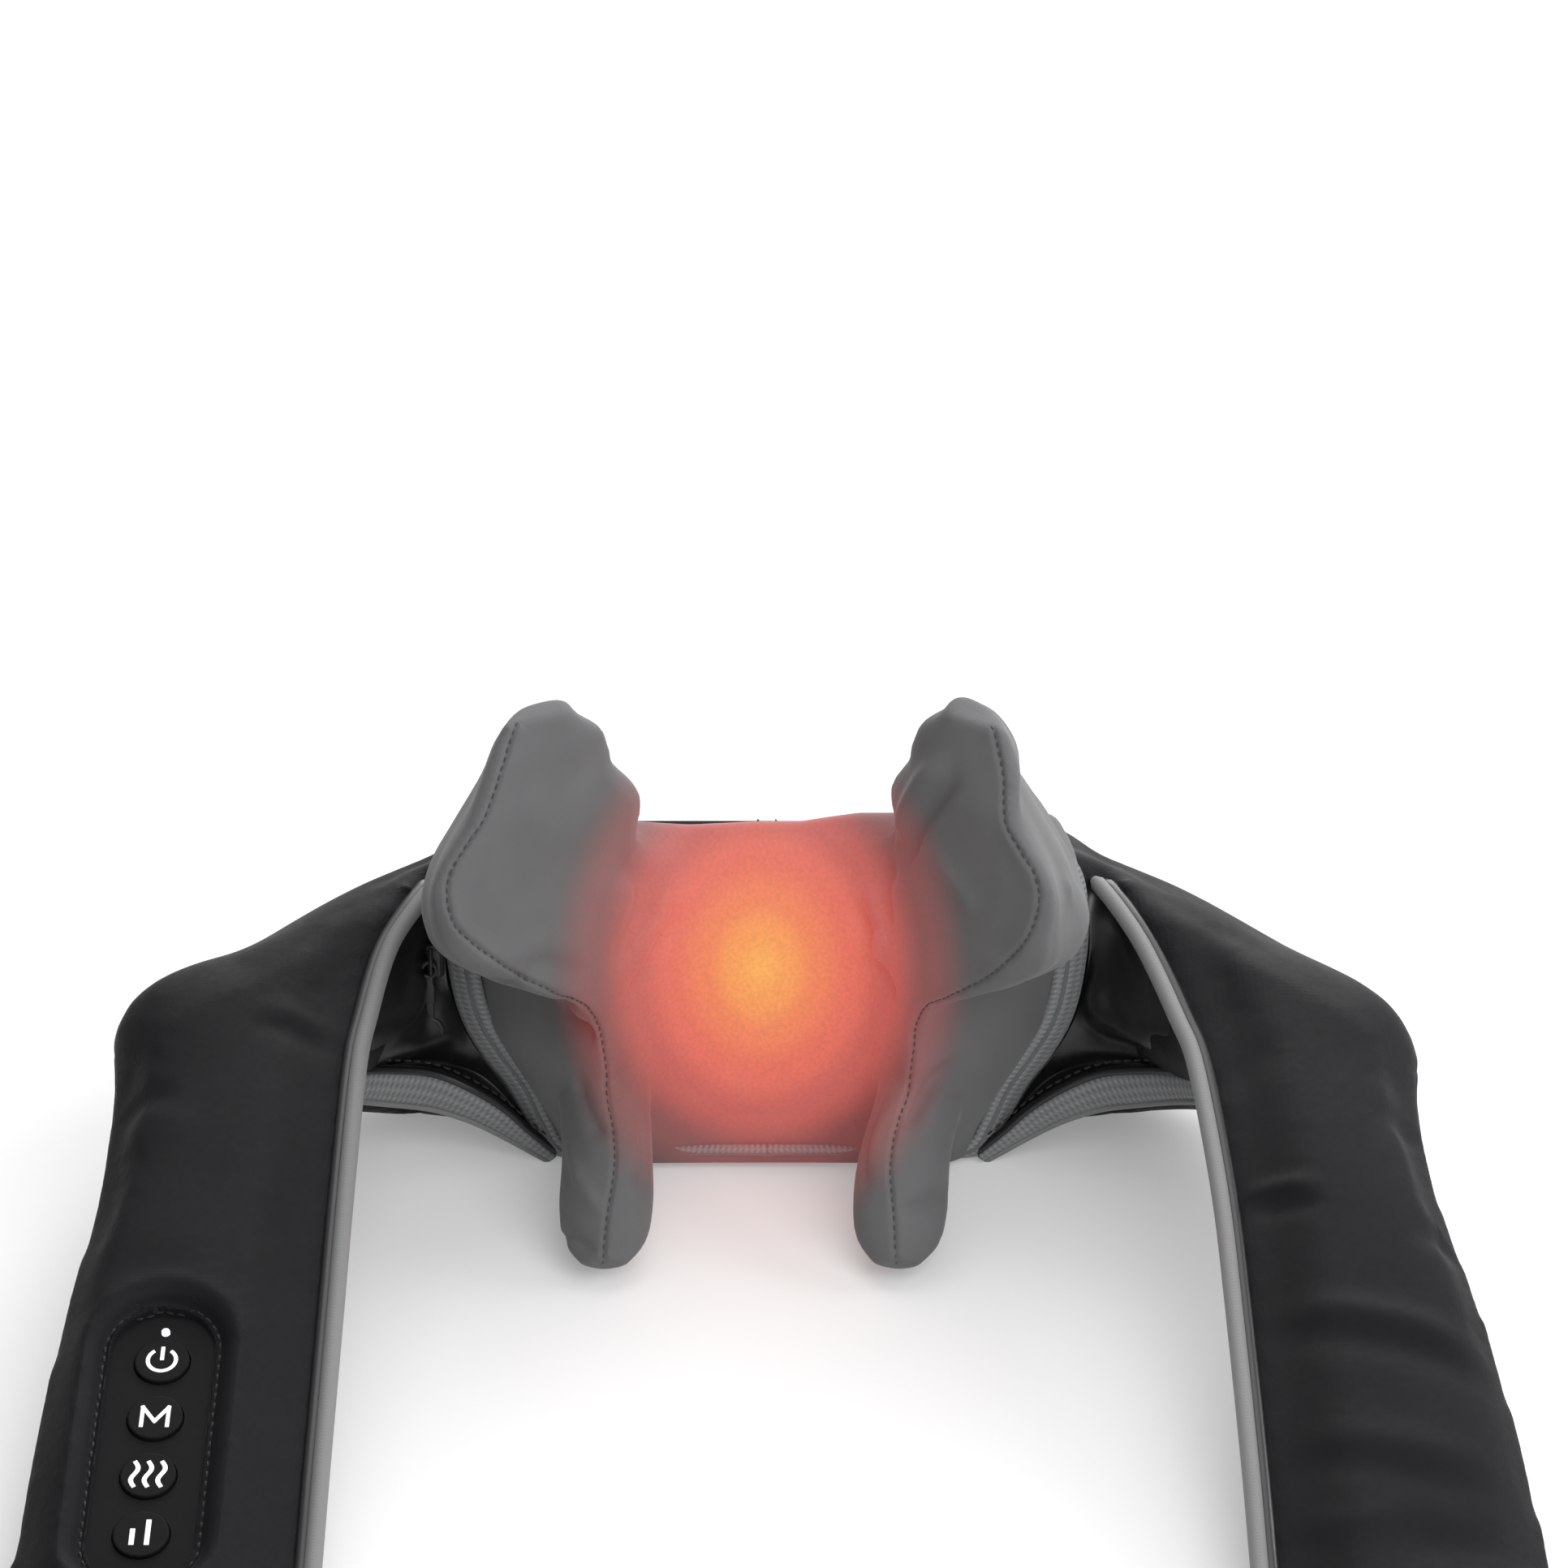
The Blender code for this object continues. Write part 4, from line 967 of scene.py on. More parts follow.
panel = {
    "centre": (-154.5, -187),
    "sink": 1.2,
    "halfWidth": 14.1,
    "halfLength": 45.0,
    "rim": 0.0011,
    "channel": 0.0009,
    "bed": 0.0027,
}
panelSlope = shell["arm"]["slope"]
panelPlace = pod(*panel["centre"], armTop(panel["centre"][1]) - panel["sink"])
panelTurn = Matrix.Translation(panelPlace) @ Matrix.Rotation(panelSlope, 4, "X")


def capsuleGap(co, halfWidth, halfLength):
    # how far each point lies outside a rounded slot in the panel's own plane
    local = np.array([tuple(p) for p in co]) @ np.array(panelTurn.inverted().to_3x3()).T
    local = local + np.array(panelTurn.inverted().translation)
    reach = halfLength - halfWidth
    y = local[:, 1] - np.clip(local[:, 1], -reach, reach)
    return np.hypot(local[:, 0], y) - halfWidth, local


bodyCreases = {
    "left": [
        ([(-143, -47.7, 72), (-134.6, -43.2, 73.4), (-125.6, -45.3, 72.8), (-114, -49, 71.7)], -0.0007, 0.004),
        ([(-143, -53, 71), (-134, -49, 72), (-125, -51, 71), (-114, -55, 70)], 0.0007, 0.0035),
        ([(-178, -70, 64), (-169.5, -74, 64.7), (-156, -72, 65.2)], 0.0011, 0.004),
        ([(-177, -80, 60), (-165, -84, 61), (-150, -80, 63)], -0.0006, 0.006),
        ([(-176, -129, 48), (-161, -134, 47.4), (-145, -131, 48)], 0.0006, 0.006),
        ([(-120, -100, 56), (-128, -120, 50), (-124, -150, 42)], 0.0006, 0.007),
        ([(-98, 14, 84), (-112, 8, 82), (-128, -8, 80)], 0.0006, 0.004),
        ([(-150, 4, 66), (-146, -20, 77), (-140, -38, 76)], 0.0006, 0.006),
    ],
    "right": [
        ([(121, -106, 55), (130, -104, 56), (141, -104.5, 55.9), (150, -107, 55)], -0.0011, 0.0028),
        ([(121, -111, 54), (131, -110, 54), (141, -110.5, 54), (150, -113, 53)], 0.0012, 0.0032),
        ([(124, -147, 43.4), (138, -146.5, 43.7), (149, -147.5, 43.4), (167, -153, 42), (181, -161.5, 39.5),
            (193, -167, 36)], -0.0013, 0.0042),
        ([(124, -155, 41), (138, -154.5, 41), (149, -155.5, 41), (167, -161, 39), (181, -169.5, 37),
            (193, -175, 34)], 0.0015, 0.0046),
        ([(126, -189, 31.4), (145, -187, 32), (165, -192, 30.7), (188, -200, 28.6)], -0.001, 0.005),
        ([(126, -197, 29), (145, -195, 30), (165, -200, 28.5), (188, -208, 26.5)], 0.0011, 0.005),
        ([(125, -207, 26.4), (143, -212, 25), (165, -209, 25.7)], -0.0007, 0.004),
        ([(186, -85, 58), (176, -80, 62), (160, -78, 64)], 0.0011, 0.005),
        ([(188, -118, 48), (178, -122, 49), (166, -119, 51)], 0.0013, 0.0045),
        ([(120, -70, 64), (132, -60, 68), (146, -52, 72)], 0.0007, 0.005),
        ([(98, 14, 84), (112, 8, 82), (128, -8, 80), (146, -18, 77)], 0.0008, 0.004),
        ([(190, -215, 24), (176, -222, 23), (150, -218, 24)], 0.0009, 0.005),
    ],
}


def pipingLine(side):
    line = list(shell["pipingFrom"])
    for y, *_ in shell["arms"][1:]:
        line.append((shell["arm"]["inner"] - 3.4, y, armTop(y) - 4))
    line += [(shell["arm"]["inner"] - 3.2, -275, 14.2), (shell["arm"]["inner"] - 2.4, -313, 12.5)]
    return evenly(curveThrough(shellLine(line, side), 8), 150)


def bodySkin(word, side):
    rows = [shellLine(ring, side) for ring in shell["back"] + armRings()]
    rings = [loopThrough(ring, 4) for ring in across(rows, 4)]
    piece = lofted(word + "Body", rings)
    finish(piece, "REMESH", mode="VOXEL", voxel_size=shell["voxel"])
    finish(piece, "SMOOTH", factor=0.5, iterations=shell["softening"])
    co = pointsOf(piece)
    setPoints(piece, co + normalsOf(piece) * 0.0011)
    co = pointsOf(piece)
    nearPanel = 1 - softStep(capsuleGap(co, 0.014, 0.045)[0] / 0.008) if side == left else np.zeros(len(co))
    nearPod = 1 - softStep((np.abs(co[:, 0]) - 0.085) / 0.03)
    nearPiping = 1 - softStep((toLine(co, pipingLine(side))[0] - 0.008) / 0.018)
    swollen(piece, np.maximum.reduce([nearPanel, nearPod * 0.85, nearPiping]))
    cutBy(piece, (0, 0, 0), (-side, 0, 0))
    finish(piece, "SUBSURF", levels=1, render_levels=1)
    co = pointsOf(piece)
    co[:, 2] = np.maximum(co[:, 2], 0.0005)  # it stands on its underside
    behind = co[:, 1] > footY + 0.008
    top = shell["top"]
    highest = top["height"] - (co[:, 1] - footY - top["front"]) * top["fall"]
    co[:, 2] = np.where(behind & (np.abs(co[:, 0]) < top["halfWidth"]), np.minimum(co[:, 2], highest), co[:, 2])
    setPoints(piece, co)
    creases = [shellLine([(side * x, y, z) for x, y, z in points],
        side) if side == left else [pod(*p) for p in points]
               for points, _, _ in bodyCreases[word]]
    lines = [onSurface(piece, curveThrough(points, 6))[0] for points in creases]

    def nearCrease(co):
        return np.min([toLine(co, line)[0] for line in lines], axis=0) < 0.012

    finerNear(piece, nearCrease)
    for line, (_, depth, width) in zip(lines, bodyCreases[word]):
        pressFold(piece, line, depth * shell["creaseShare"], width * 1.25, 0.4)
    outerSeam(piece, side)
    if side == left:
        sinkPanel(piece)
    dress(piece, blackLeather)
    blendArm(piece)
    return piece


def outerSeam(piece, side):
    # the two leatherette faces are sewn together along the outer edge, from the centre back to the tip
    rings = [ring for ring in shell["back"][1:] + armRings()[:-1]]
    edge = shellLine([ring[3] for ring in rings], side)
    line = onSurface(piece, evenly(curveThrough(edge, 8), 160))[0]
    finerNear(piece, lambda co: toLine(co, line)[0] < 0.004)
    pressFold(piece, line, -0.0005, 0.004, 0.02)
    pressFold(piece, line, 0.0013, 0.0012, 0.02)


def blendArm(piece):
    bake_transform(piece)


def sinkPanel(piece):
    # a flat bed for the keys, a stitched channel round it and a soft rim outside
    for _ in range(2):
        finerNear(piece, lambda co: np.abs(capsuleGap(co, 0.014, 0.045)[0] + 0.001) < 0.009)
    co = pointsOf(piece)
    gap, local = capsuleGap(co, panel["halfWidth"] * 0.001, panel["halfLength"] * 0.001)
    above = local[:, 2] > -0.006
    rise = panel["rim"] * np.exp(-(((gap - 0.0052) / 0.0032) ** 2))
    rise -= panel["channel"] * 1.6 * np.exp(-(((gap - 0.0008) / 0.0013) ** 2))
    out = np.array(panelTurn.to_3x3() @ Vector((0, 0, 1)))
    bed = softStep(-(gap + 0.0002) / 0.0016)
    flat = -panel["bed"] - local[:, 2]  # deep enough for the keys to be pressed
    co = co + out[None, :] * (np.where(above, rise + bed * flat, 0))[:, None]
    setPoints(piece, co)


bodies = {word: bodySkin(word, side) for word, side in sides.items()}
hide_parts("left_yoke", "left_arm", "back_panel", "bottom_panel")
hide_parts("right_yoke", "right_arm")
print("body made")


# grey piping along the neck edges


for word, side in sides.items():
    line = pipingLine(side)
    cord = roundTube(word + "Piping", line, shell["pipingRadius"] * 0.001, 14)
    dress(cord, greyPiping)
    # the flange that sews the piping in
    inwards = [p + Vector((side * 0.0031, 0.0006, -0.0012)) for p in line]
    flange = roundTube(word + "PipingFlange", inwards, 0.0023, 10)
    dress(flange, satinLining)
    for piece in (cord, flange):
        blendArm(piece)
    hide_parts(word + "_yoke_piping", word + "_arm_piping")
print("piping made")


# the zip tape round the cover

tape = {
    # inner edge, then outer edge, from the middle of the foot upwards
    "edges": [
        ((0, -5.6, 10), (0, 0.6, 1.0)),
        ((18, -5.4, 9.8), (18, 0.8, 1.0)),
        ((34, -4.4, 8.6), (36, 1.2, 1.0)),
        ((48, -2.4, 6.4), (52, 2.2, 1.0)),
        ((57.5, -0.4, 7.0), (63.5, 3.4, 2.6)),
        ((62, 0.8, 15), (69.5, 5.4, 12)),
        ((66, 1.4, 25.5), (75.3, 6.2, 23.5)),
        ((72.2, 1.8, 36), (82, 6.6, 33.5)),
        ((77.8, 2.2, 46), (87, 7, 44)),
        ((80.8, 2.6, 57), (90, 7.4, 57)),
        ((82, 3.4, 72), (91.2, 8.4, 74)),
        ((79, 5, 90), (88.5, 10, 92)),
        ((70, 8, 101.5), (77, 12, 102.5)),
    ],
    "rows": 5,
}


def zipEdges(side):
    return [[pod(side * x, y, z) for x, y, z in pair] for pair in tape["edges"]]


def ribbon(name, firstEdge, secondEdge, count, rows, bulge=0.0008):
    # a band between two lines, a little proud along its middle
    a, b = evenly(firstEdge, count), evenly(secondEdge, count)
    lines = []
    for r in range(rows + 1):
        t = r / rows
        line = []
        for i, (p, q) in enumerate(zip(a, b)):
            along = a[min(i + 1, count - 1)] - a[max(i - 1, 0)]
            up = along.cross(q - p).normalized()
            if up.y > 0:
                up = -up
            line.append(p.lerp(q, t) + up * bulge * math.sin(math.pi * t))
        lines.append(line)
    piece = grid(name, lines)
    pickOnly(piece)
    finish(piece, "SOLIDIFY", thickness=0.0009, offset=0)
    return outwards(piece)


tapePieces = []
for side in (left, right):
    pairs = zipEdges(side)
    inner = curveThrough([a for a, _ in pairs], 8)
    outer = curveThrough([b for _, b in pairs], 8)
    tapePieces.append(ribbon("zipTapeBand", inner, outer, 160, tape["rows"]))
    # the covered coil, a rounded rib along the tape
    coil = [a.lerp(b, 0.4) + Vector((0, -0.0007, 0)) for a, b in zip(evenly(inner, 160), evenly(outer, 160))]
    spine = roundTube("zipCoil", coil, 0.0009, 8)
    spine.data.uv_layers.new(name="UVMap")
    tapePieces.append(spine)
zipBand = joined("zipTape", tapePieces)
dress(zipBand, zipTape, "pod")
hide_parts("cover_zip")
print("zip tape made")


# the satin inside the shoulders, and its hem

lining = {
    # along the zip, from the foot upwards
    "zipEdge": [(60, 3.5, 1.4), (68.5, 5.6, 10), (76, 7, 23.5), (82.5, 7.4, 33.5), (87.5, 8, 44), (91, 8.6, 57),
        (91.5, 10, 72), (90, 15, 84)],
    # along the hem and then up the piping
    "hem": [(62.5, 1.5, 2.2), (69.5, 1, 10.3), (77, 1, 17.4), (86, 0, 25.5), (96, -2, 31.5), (107.5, -8, 35.6),
        (116, -16, 39.5), (121, -28, 45)],
    "pipingEdge": [(121, -28, 45), (116, -40, 58), (112, -38, 67), (108, -13, 74.5), (102, 3, 80), (96, 15, 82.5),
        (92, 18, 84)],
    "sag": 6.5,
    "folds": [
        ([(90, 9, 60), (98, 10, 55), (106, 2, 50), (114, -18, 50)], -0.0017, 0.0032),
        ([(84, 8, 40), (94, 8, 42), (103, 3, 43), (113, -12, 46)], 0.0018, 0.004),
        ([(92, 12, 74), (98, 12, 64), (102, 8, 52), (98, 2, 38)], -0.0014, 0.0036),
        ([(96, 10, 78), (104, 3, 68), (109, -12, 60)], 0.0015, 0.004),
    ],
}


def inwardPiece(word, side):
    zipEdge = evenly(curveThrough([pod(side * x, y, z) for x, y, z in lining["zipEdge"]], 8), 60)
    far = curveThrough(shellLine(lining["hem"], side), 8) + curveThrough(shellLine(lining["pipingEdge"], side), 8)[1:]
    far = evenly(far, 60)
    rows = []
    for a, b in zip(zipEdge, far):
        row = []
        for k in range(25):
            t = k / 24
            deep = lining["sag"] * 0.001 * min(1.0, (b - a).length / 0.03)
            row.append(a.lerp(b, t) + Vector((0, deep * math.sin(math.pi * t) ** 0.8, 0)))
        rows.append(row)
    piece = grid(word + "Lining", rows)
    for points, depth, width in lining["folds"]:
        line, _ = onSurface(piece, curveThrough(shellLine(points, side), 6))
        pressFold(piece, line, depth, width)
    finish(piece, "SMOOTH", factor=0.5, iterations=2)
    finish(piece, "SUBSURF", levels=1, render_levels=1)
    finish(piece, "SOLIDIFY", thickness=0.0008, offset=0)
    outwards(piece)
    dress(piece, satinLining)
    blendArm(piece)
    return piece


hem = {
    "top": [(61, 0.6, 2.6), (69.1, 0.2, 10.6), (76, 0.4, 17.5), (85.5, -0.8, 25), (95.8, -2.8, 31),
        (107.4, -8.8, 35.6), (115.8, -16, 39.5), (121, -27, 45)],
    "bottom": [(63, 2.4, 0.5), (69, 2, 4.6), (76.2, 2, 9.2), (85.4, 1, 15), (96.4, -1, 20.2), (107.8, -7, 25.4),
        (117, -15, 31.2), (123, -26, 38)],
}


def hemBand(word, side):
    top = evenly(curveThrough(shellLine(hem["top"], side), 8), 70)
    bottom = evenly(curveThrough(shellLine(hem["bottom"], side), 8), 70)
    band = ribbon(word + "HemBand", top, bottom, 70, 4, 0.0006)
    dress(band, zipTape)
    lower = roundTube(word + "HemCord", [p + Vector((0, 0.0004, -0.001)) for p in bottom], 0.0011, 8)
    dress(lower, greyPiping)
    upper = roundTube(word + "HemFold", [p + Vector((0, 0.0008, 0.0008)) for p in top], 0.0014, 8)
    dress(upper, satinLining)
    row = [p + Vector((0, 0.0012, 0.0042)) for p in top]
    facing = [Vector((0, -1, 0.25))] * len(row)
    threads = stitches(word + "HemStitches", row, facing, 0.0032, 0.0021, 0.0003, 0.0008)
    dress(threads, blackThread)
    for piece in (band, lower, upper, threads):
        blendArm(piece)


for word, side in sides.items():
    inwardPiece(word, side)
    hemBand(word, side)
print("lining and hems made")


# hand straps at the arms' ends

strap = {"middle": 154, "halfSpan": 33, "rise": 27, "y": -286, "halfWidth": 15, "base": 17.2, "thick": 0.0022}


def handStrap(word, side):
    rows = []
    for r in range(9):
        y = strap["y"] + strap["halfWidth"] * (r / 4 - 1)
        row = []
        for k in range(41):
            t = k / 40
            angle = math.pi * t
            x = strap["middle"] - strap["halfSpan"] * math.cos(angle)
            z = strap["base"] + strap["rise"] * math.sin(angle) ** 0.85 + 0.5 * math.cos(r * math.pi / 4)
            row.append((x, y, z))
        ends = [(strap["middle"] - strap["halfSpan"] - 9, y, strap["base"] + 0.4),
            (strap["middle"] - strap["halfSpan"] - 3, y, strap["base"] + 0.3)]
        far = [(2 * strap["middle"] - x, y, z) for x, y, z in reversed(ends)]
        rows.append(shellLine(ends + row[1:-1] + far, side))
    piece = grid(word + "HandStrap", rows)
    finish(piece, "SUBSURF", levels=1, render_levels=1)
    finish(piece, "SOLIDIFY", thickness=strap["thick"], offset=0)
    outwards(piece)
    dress(piece, blackWebbing, word + "_arm_pad")
    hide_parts(word + "_hand_strap")
    rowsOfThread = []
    for end in (-1, 1):
        for inset in (5, 8):
            x = strap["middle"] + end * (strap["halfSpan"] + inset)
            line = shellLine([(x, strap["y"] - 13, strap["base"] + 1.6), (x, strap["y"] + 13, strap["base"] + 1.6)],
                side)
            rowsOfThread.append(stitches("strapThread", evenly(line, 40), [Vector((0, 0, 1))] * 40, 0.003, 0.002,
                0.0003))
    threads = joined(word + "StrapStitches", rowsOfThread)
    dress(threads, greyThread, word + "_arm_pad")


for word, side in sides.items():
    handStrap(word, side)
print("hand straps made")


# marks on the keys, and the lamp above them

keys = {
    "first": 28.0,
    "pitch": 18.6,
    "top": 1.16,
    "stroke": 0.52,
    "lampAt": 38.0,
    "bodies": ["power_button", "mode_button", "heat_button", "level_button"],
}


def freshMesh(name):
    piece = bpy.context.object
    piece.name = piece.data.name = name
    return piece


def onPanel(piece, x, y, z):
    # moves a piece modelled round the origin onto the key panel
    piece.data.transform(piece.matrix_world)
    piece.matrix_world = Matrix.Identity(4)
    piece.data.transform(panelTurn @ Matrix.Translation((x * 0.001, y * 0.001, z * 0.001)))
    return piece


def bar(name, start, end, width=None):
    # a flat stroke with rounded ends, from one point to another in millimetres
    width = (width or keys["stroke"] * 2) * 0.001
    a, b = Vector((*start, 0)) * 0.001, Vector((*end, 0)) * 0.001
    bpy.ops.object.select_all(action="DESELECT")
    bpy.ops.mesh.primitive_cube_add(size=1)
    piece = freshMesh(name)
    piece.scale = ((b - a).length + width * 0.9, width, 0.00024)
    bpy.ops.object.transform_apply(location=False, rotation=False, scale=True)
    bpy.ops.object.mode_set(mode="EDIT")
    bpy.ops.mesh.select_all(action="SELECT")
    bpy.ops.mesh.bevel(offset=0.0001, segments=2, affect="EDGES")
    bpy.ops.object.mode_set(mode="OBJECT")
    piece.data.transform(Matrix.Translation((a + b) / 2) @ Matrix.Rotation(math.atan2(b.y - a.y, b.x - a.x), 4, "Z"))
    return piece


def powerMark():
    bpy.ops.object.select_all(action="DESELECT")
    bpy.ops.mesh.primitive_torus_add(major_radius=0.0036, minor_radius=0.00052, major_segments=72, minor_segments=10)
    ring = freshMesh("powerRing")
    shape = bmesh.new()
    shape.from_mesh(ring.data)
    opening = [v for v in shape.verts if v.co.y > 0 and abs(math.atan2(v.co.x, v.co.y)) < math.radians(33)]
    bmesh.ops.delete(shape, geom=opening, context="VERTS")
    bmesh.ops.holes_fill(shape, edges=shape.edges)
    for v in shape.verts:
        v.co.z *= 0.2
    shape.to_mesh(ring.data)
    shape.free()
    return joined("powerMark", [ring, bar("powerBar", (0, 0.4), (0, 3.9))])


def modeMark():
    strokes = [((-3.3, -3), (-3.3, 3)), ((-3.3, 3), (0, -1.6)), ((0, -1.6), (3.3, 3)), ((3.3, 3), (3.3, -3))]
    return joined("modeMark", [bar("modeStroke", a, b) for a, b in strokes])


def heatMark():
    waves = []
    for x in (-3.4, 0, 3.4):
        for k in range(10):
            ends = [(x + 0.75 * math.sin((t / 10 - 0.5) * 2 * math.pi), (t / 10 - 0.5) * 7.4) for t in (k, k + 1)]
            waves.append(bar("heatStroke", *ends, 1.15))
    return joined("heatMark", waves)


def levelMark():
    return joined("levelMark", [bar("lowBar", (-2.1, -3.1), (-2.1, 0.8), 1.3),
        bar("highBar", (1.7, -3.1), (1.7, 3.6), 1.3)])


for n, (mark, body) in enumerate(zip((powerMark(), modeMark(), heatMark(), levelMark()), keys["bodies"])):
    onPanel(mark, 0, keys["first"] - n * keys["pitch"], keys["top"])
    mark.data.shade_flat()
    dress(mark, glowingMarkWhite, body)

bpy.ops.object.select_all(action="DESELECT")
bpy.ops.mesh.primitive_cylinder_add(vertices=32, radius=0.00105, depth=0.0012)
lamp = freshMesh("statusLight")
bpy.ops.object.mode_set(mode="EDIT")
bpy.ops.mesh.select_all(action="SELECT")
bpy.ops.mesh.bevel(offset=0.0002, segments=2, affect="EDGES")
bpy.ops.object.mode_set(mode="OBJECT")
onPanel(lamp, 0, keys["lampAt"], 0.15)
dress(lamp, lampWhite, "left_arm_pad")
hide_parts("status_lamp")

# the panel's stitched channel
channel = []
for k in range(120):
    angle = 2 * math.pi * k / 120
    x, y = math.cos(angle), math.sin(angle)
    reach = panel["halfLength"] - panel["halfWidth"]
    channel.append(((panel["halfWidth"] + 0.9) * x, (panel["halfWidth"] + 0.9) * y + (reach if y >= 0 else -reach)))
channel = evenly([panelTurn @ Vector((x * 0.001, y * 0.001, 0)) for x, y in channel], 240, closed=True)
line, facing = onSurface(bodies["left"], channel)
dress(stitches("panelStitches", line, facing, 0.0031, 0.0021, 0.0003, 0.0001), blackThread, "left_arm_pad")
print("key marks made")


# zip slider and its pull

zipPull = {"pivot": (-96, 3, 64), "length": 17.5, "ring": 3.1}


def plate(name, size, place, rounding, segments=3):
    bpy.ops.object.select_all(action="DESELECT")
    bpy.ops.mesh.primitive_cube_add(size=1)
    piece = freshMesh(name)
    piece.scale = [s * 0.001 for s in size]
    bpy.ops.object.transform_apply(location=False, rotation=False, scale=True)
    bpy.ops.object.mode_set(mode="EDIT")
    bpy.ops.mesh.select_all(action="SELECT")
    bpy.ops.mesh.bevel(offset=rounding * 0.001, segments=segments, affect="EDGES")
    bpy.ops.object.mode_set(mode="OBJECT")
    piece.data.transform(Matrix.Translation(pod(*place)))
    return piece


def loopRing(name, major, minor, place, turn, stretch=(1, 1, 1)):
    bpy.ops.object.select_all(action="DESELECT")
    bpy.ops.mesh.primitive_torus_add(major_radius=major * 0.001, minor_radius=minor * 0.001, major_segments=40,
        minor_segments=12)
    piece = freshMesh(name)
    piece.data.transform(Matrix.Diagonal((*stretch, 1)))
    piece.data.transform(Matrix.Translation(pod(*place)) @ Matrix.Rotation(math.radians(turn[1]), 4, turn[0]))
    return piece


def zipParts():
    x, y, z = zipPull["pivot"]
    body = plate("sliderBody", (5.6, 2.6, 10), (x + 1.4, y + 3.4, z), 1.0)
    face = plate("sliderFace", (4.2, 1.4, 8.4), (x + 1.4, y + 1.7, z), 0.6)
    bridge = loopRing("sliderBridge", 2.6, 0.65, (x + 0.6, y + 1.2, z + 0.6), ("Y", 90), (1.4, 0.9, 1))
    slider = joined("zipSlider", [body, face, bridge])
    dress(slider, blackPlastic, "pod")
    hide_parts("zip_slider")
    eye = loopRing("pullEye", 2.0, 0.6, (x, y - 0.4, z - 0.9), ("X", 90), (1, 1.15, 1))
    neck = plate("pullNeck", (2.5, 1.1, zipPull["length"] - 3.4),
        (x, y - 0.4, z - 2.6 - zipPull["length"] / 2 + 1.3), 0.5)
    swell = plate("pullSwell", (3.3, 1.5, 6.5), (x, y - 0.4, z - 8.5), 0.7)
    end = loopRing("pullRing", zipPull["ring"], 0.85, (x, y - 0.4, z - 3.0 - zipPull["length"]), ("X", 90),
        (1, 1.08, 1))
    pull = joined("zipPull", [eye, neck, swell, end])
    dress(pull, blackPlastic, "pull_tab")
    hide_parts("zip_pull")
    for piece in (slider, pull):
        piece.data.shade_smooth()


zipParts()
print("zip slider made")


# the charging inlet in the back

inlet = {"place": (42, 14), "size": (15, 9.5), "port": (9.2, 3.3)}


def chargingInlet():
    x, z = inlet["place"]
    ray = BVHTree.FromObject(bodies["right"], bpy.context.evaluated_depsgraph_get())
    spot, _, _, _ = ray.ray_cast(pod(x, 120, z), Vector((0, -1, 0)))
    y = (spot.y - footY) * 1000
    bezel = plate("chargeBezel", (inlet["size"][0], 4.0, inlet["size"][1]), (x, y - 0.6, z), 1.5, 4)
    port = plate("chargePort", (inlet["port"][0], 8.0, inlet["port"][1]), (x, y + 3, z), 1.4, 4)
    cut = bezel.modifiers.new("port", "BOOLEAN")
    cut.operation = "DIFFERENCE"
    cut.object = port
    cut.solver = "EXACT"
    pickOnly(bezel)
    bpy.ops.object.modifier_apply(modifier="port")
    removePiece(port)
    tongue = plate("chargeTongue", (6.4, 1.6, 0.8), (x, y + 0.1, z), 0.25, 2)
    pickOnly(bezel)
    bpy.ops.object.shade_smooth_by_angle(angle=math.radians(35))
    dress(bezel, blackPlastic, "pod")
    dress(tongue, brightSteel, "pod")


chargingInlet()


def backSeam():
    # a row of stitches each side of the centre back
    for side, word in ((left, "left"), (right, "right")):
        line = [pod(side * 2.6, 80, z) for z in range(6, 76, 2)] + [pod(side * 2.6, y, 90) for y in range(62, 24, -2)]
        row, facing = onSurface(bodies[word], evenly(line, 120))
        threads = stitches(word + "BackStitches", row, facing, 0.0036, 0.0024, 0.0003, 0.0001)
        dress(threads, blackThread, "pod")


backSeam()
print("charging inlet made")


# where the object stands and what lights it

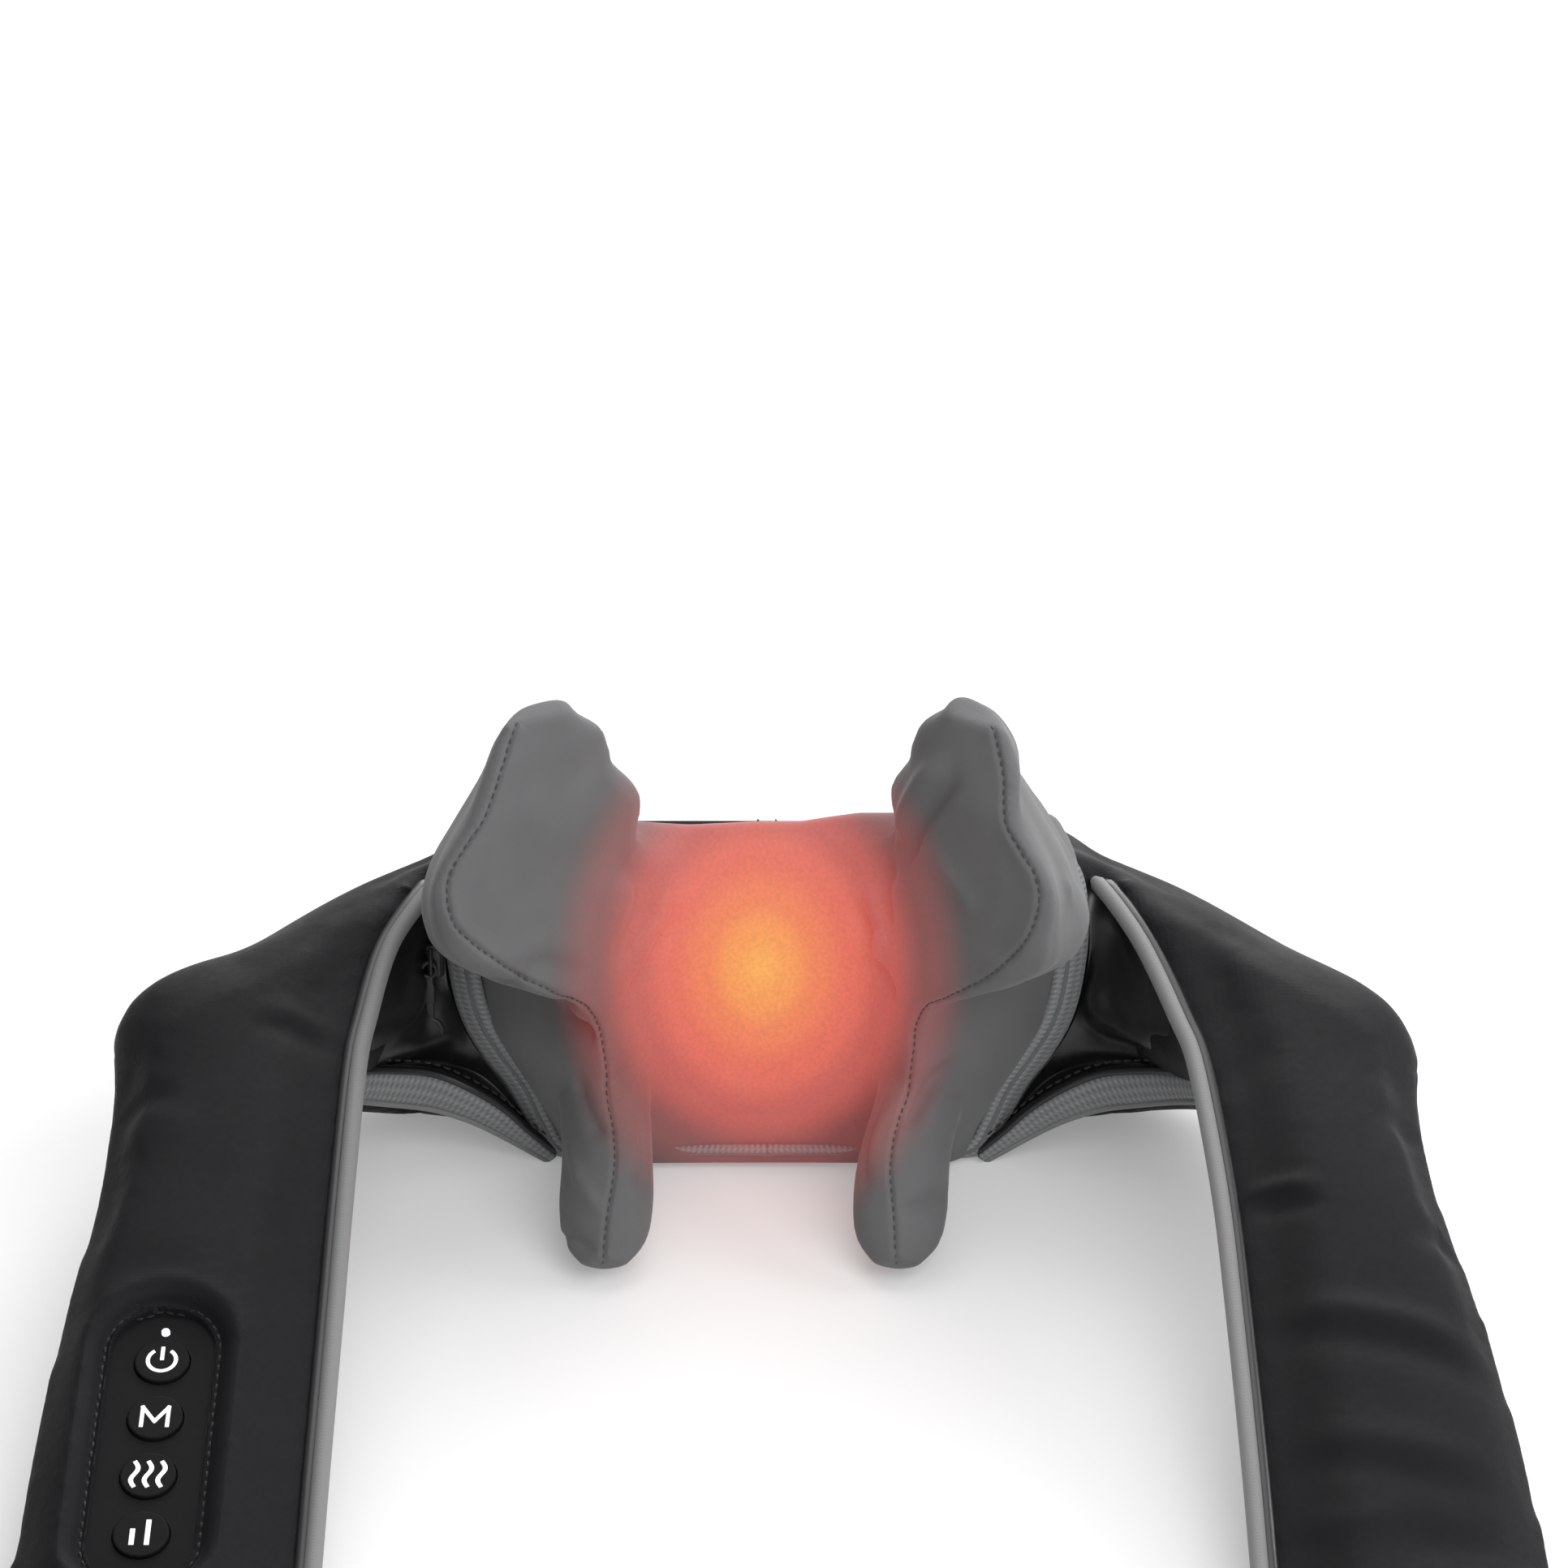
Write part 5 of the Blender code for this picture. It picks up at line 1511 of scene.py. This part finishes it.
stage = {
    "floorSize": 9.0,
    "floorColour": (0.60, 0.60, 0.60),
    "floorLift": 0.25,
    "world": 0.46,
    "lens": 111.0,
    "viewer": (4.94, -1197.37, 733.80),
    "tilt": 63.0,
    # place, aim, size, power
    "lamps": {
        "frontSoftbox": ((480, -1150, 1050), (0, -60, 30), 1.4, 17.0),
        "overheadSoftbox": ((0, 300, 1300), (0, -40, 60), 1.2, 6.0),
        "backSoftbox": ((200, 1500, 800), (0, 500, 0), 1.6, 24.0),
        "rightSoftbox": ((1000, 100, 600), (0, 0, 60), 0.7, 7.0),
    },
}


def buildStage():
    scene = bpy.context.scene
    bpy.ops.object.select_all(action="DESELECT")
    bpy.ops.mesh.primitive_plane_add(size=stage["floorSize"], location=(0, 1.5, -0.0003))
    floor = bpy.context.object
    floor.name = "studioFloor"
    bpy.ops.object.transform_apply(location=True, rotation=True, scale=True)
    paper = plasticFinish("studioPaper", stage["floorColour"], tuple(c + 0.01 for c in stage["floorColour"]), 0.9,
        0.1)
    shaderOf(paper).inputs["Emission Color"].default_value = (1, 1, 1, 1)
    shaderOf(paper).inputs["Emission Strength"].default_value = stage["floorLift"]
    floor.data.materials.append(paper)
    world = bpy.data.worlds.new("studio")
    world.use_nodes = True
    world.node_tree.nodes["Background"].inputs["Color"].default_value = (1, 1, 1, 1)
    world.node_tree.nodes["Background"].inputs["Strength"].default_value = stage["world"]
    scene.world = world
    for name, (where, aim, size, power) in stage["lamps"].items():
        light = bpy.data.lights.new(name, "AREA")
        light.shape = "DISK"
        light.size = size
        light.energy = power
        lamp = bpy.data.objects.new(name, light)
        lamp.location = pod(*where)
        lamp.rotation_euler = (pod(*aim) - lamp.location).to_track_quat("-Z", "Y").to_euler()
        scene.collection.objects.link(lamp)
    lens = bpy.data.cameras.new("studioCamera")
    lens.lens = stage["lens"]
    lens.sensor_width = 36
    lens.clip_start = 0.05
    lens.clip_end = 30
    viewer = bpy.data.objects.new("studioCamera", lens)
    viewer.location = pod(*stage["viewer"])
    viewer.rotation_euler = (math.radians(stage["tilt"]), 0, 0)
    scene.collection.objects.link(viewer)
    scene.camera = viewer
    scene.view_settings.view_transform = "Standard"


buildStage()
print("stage set")
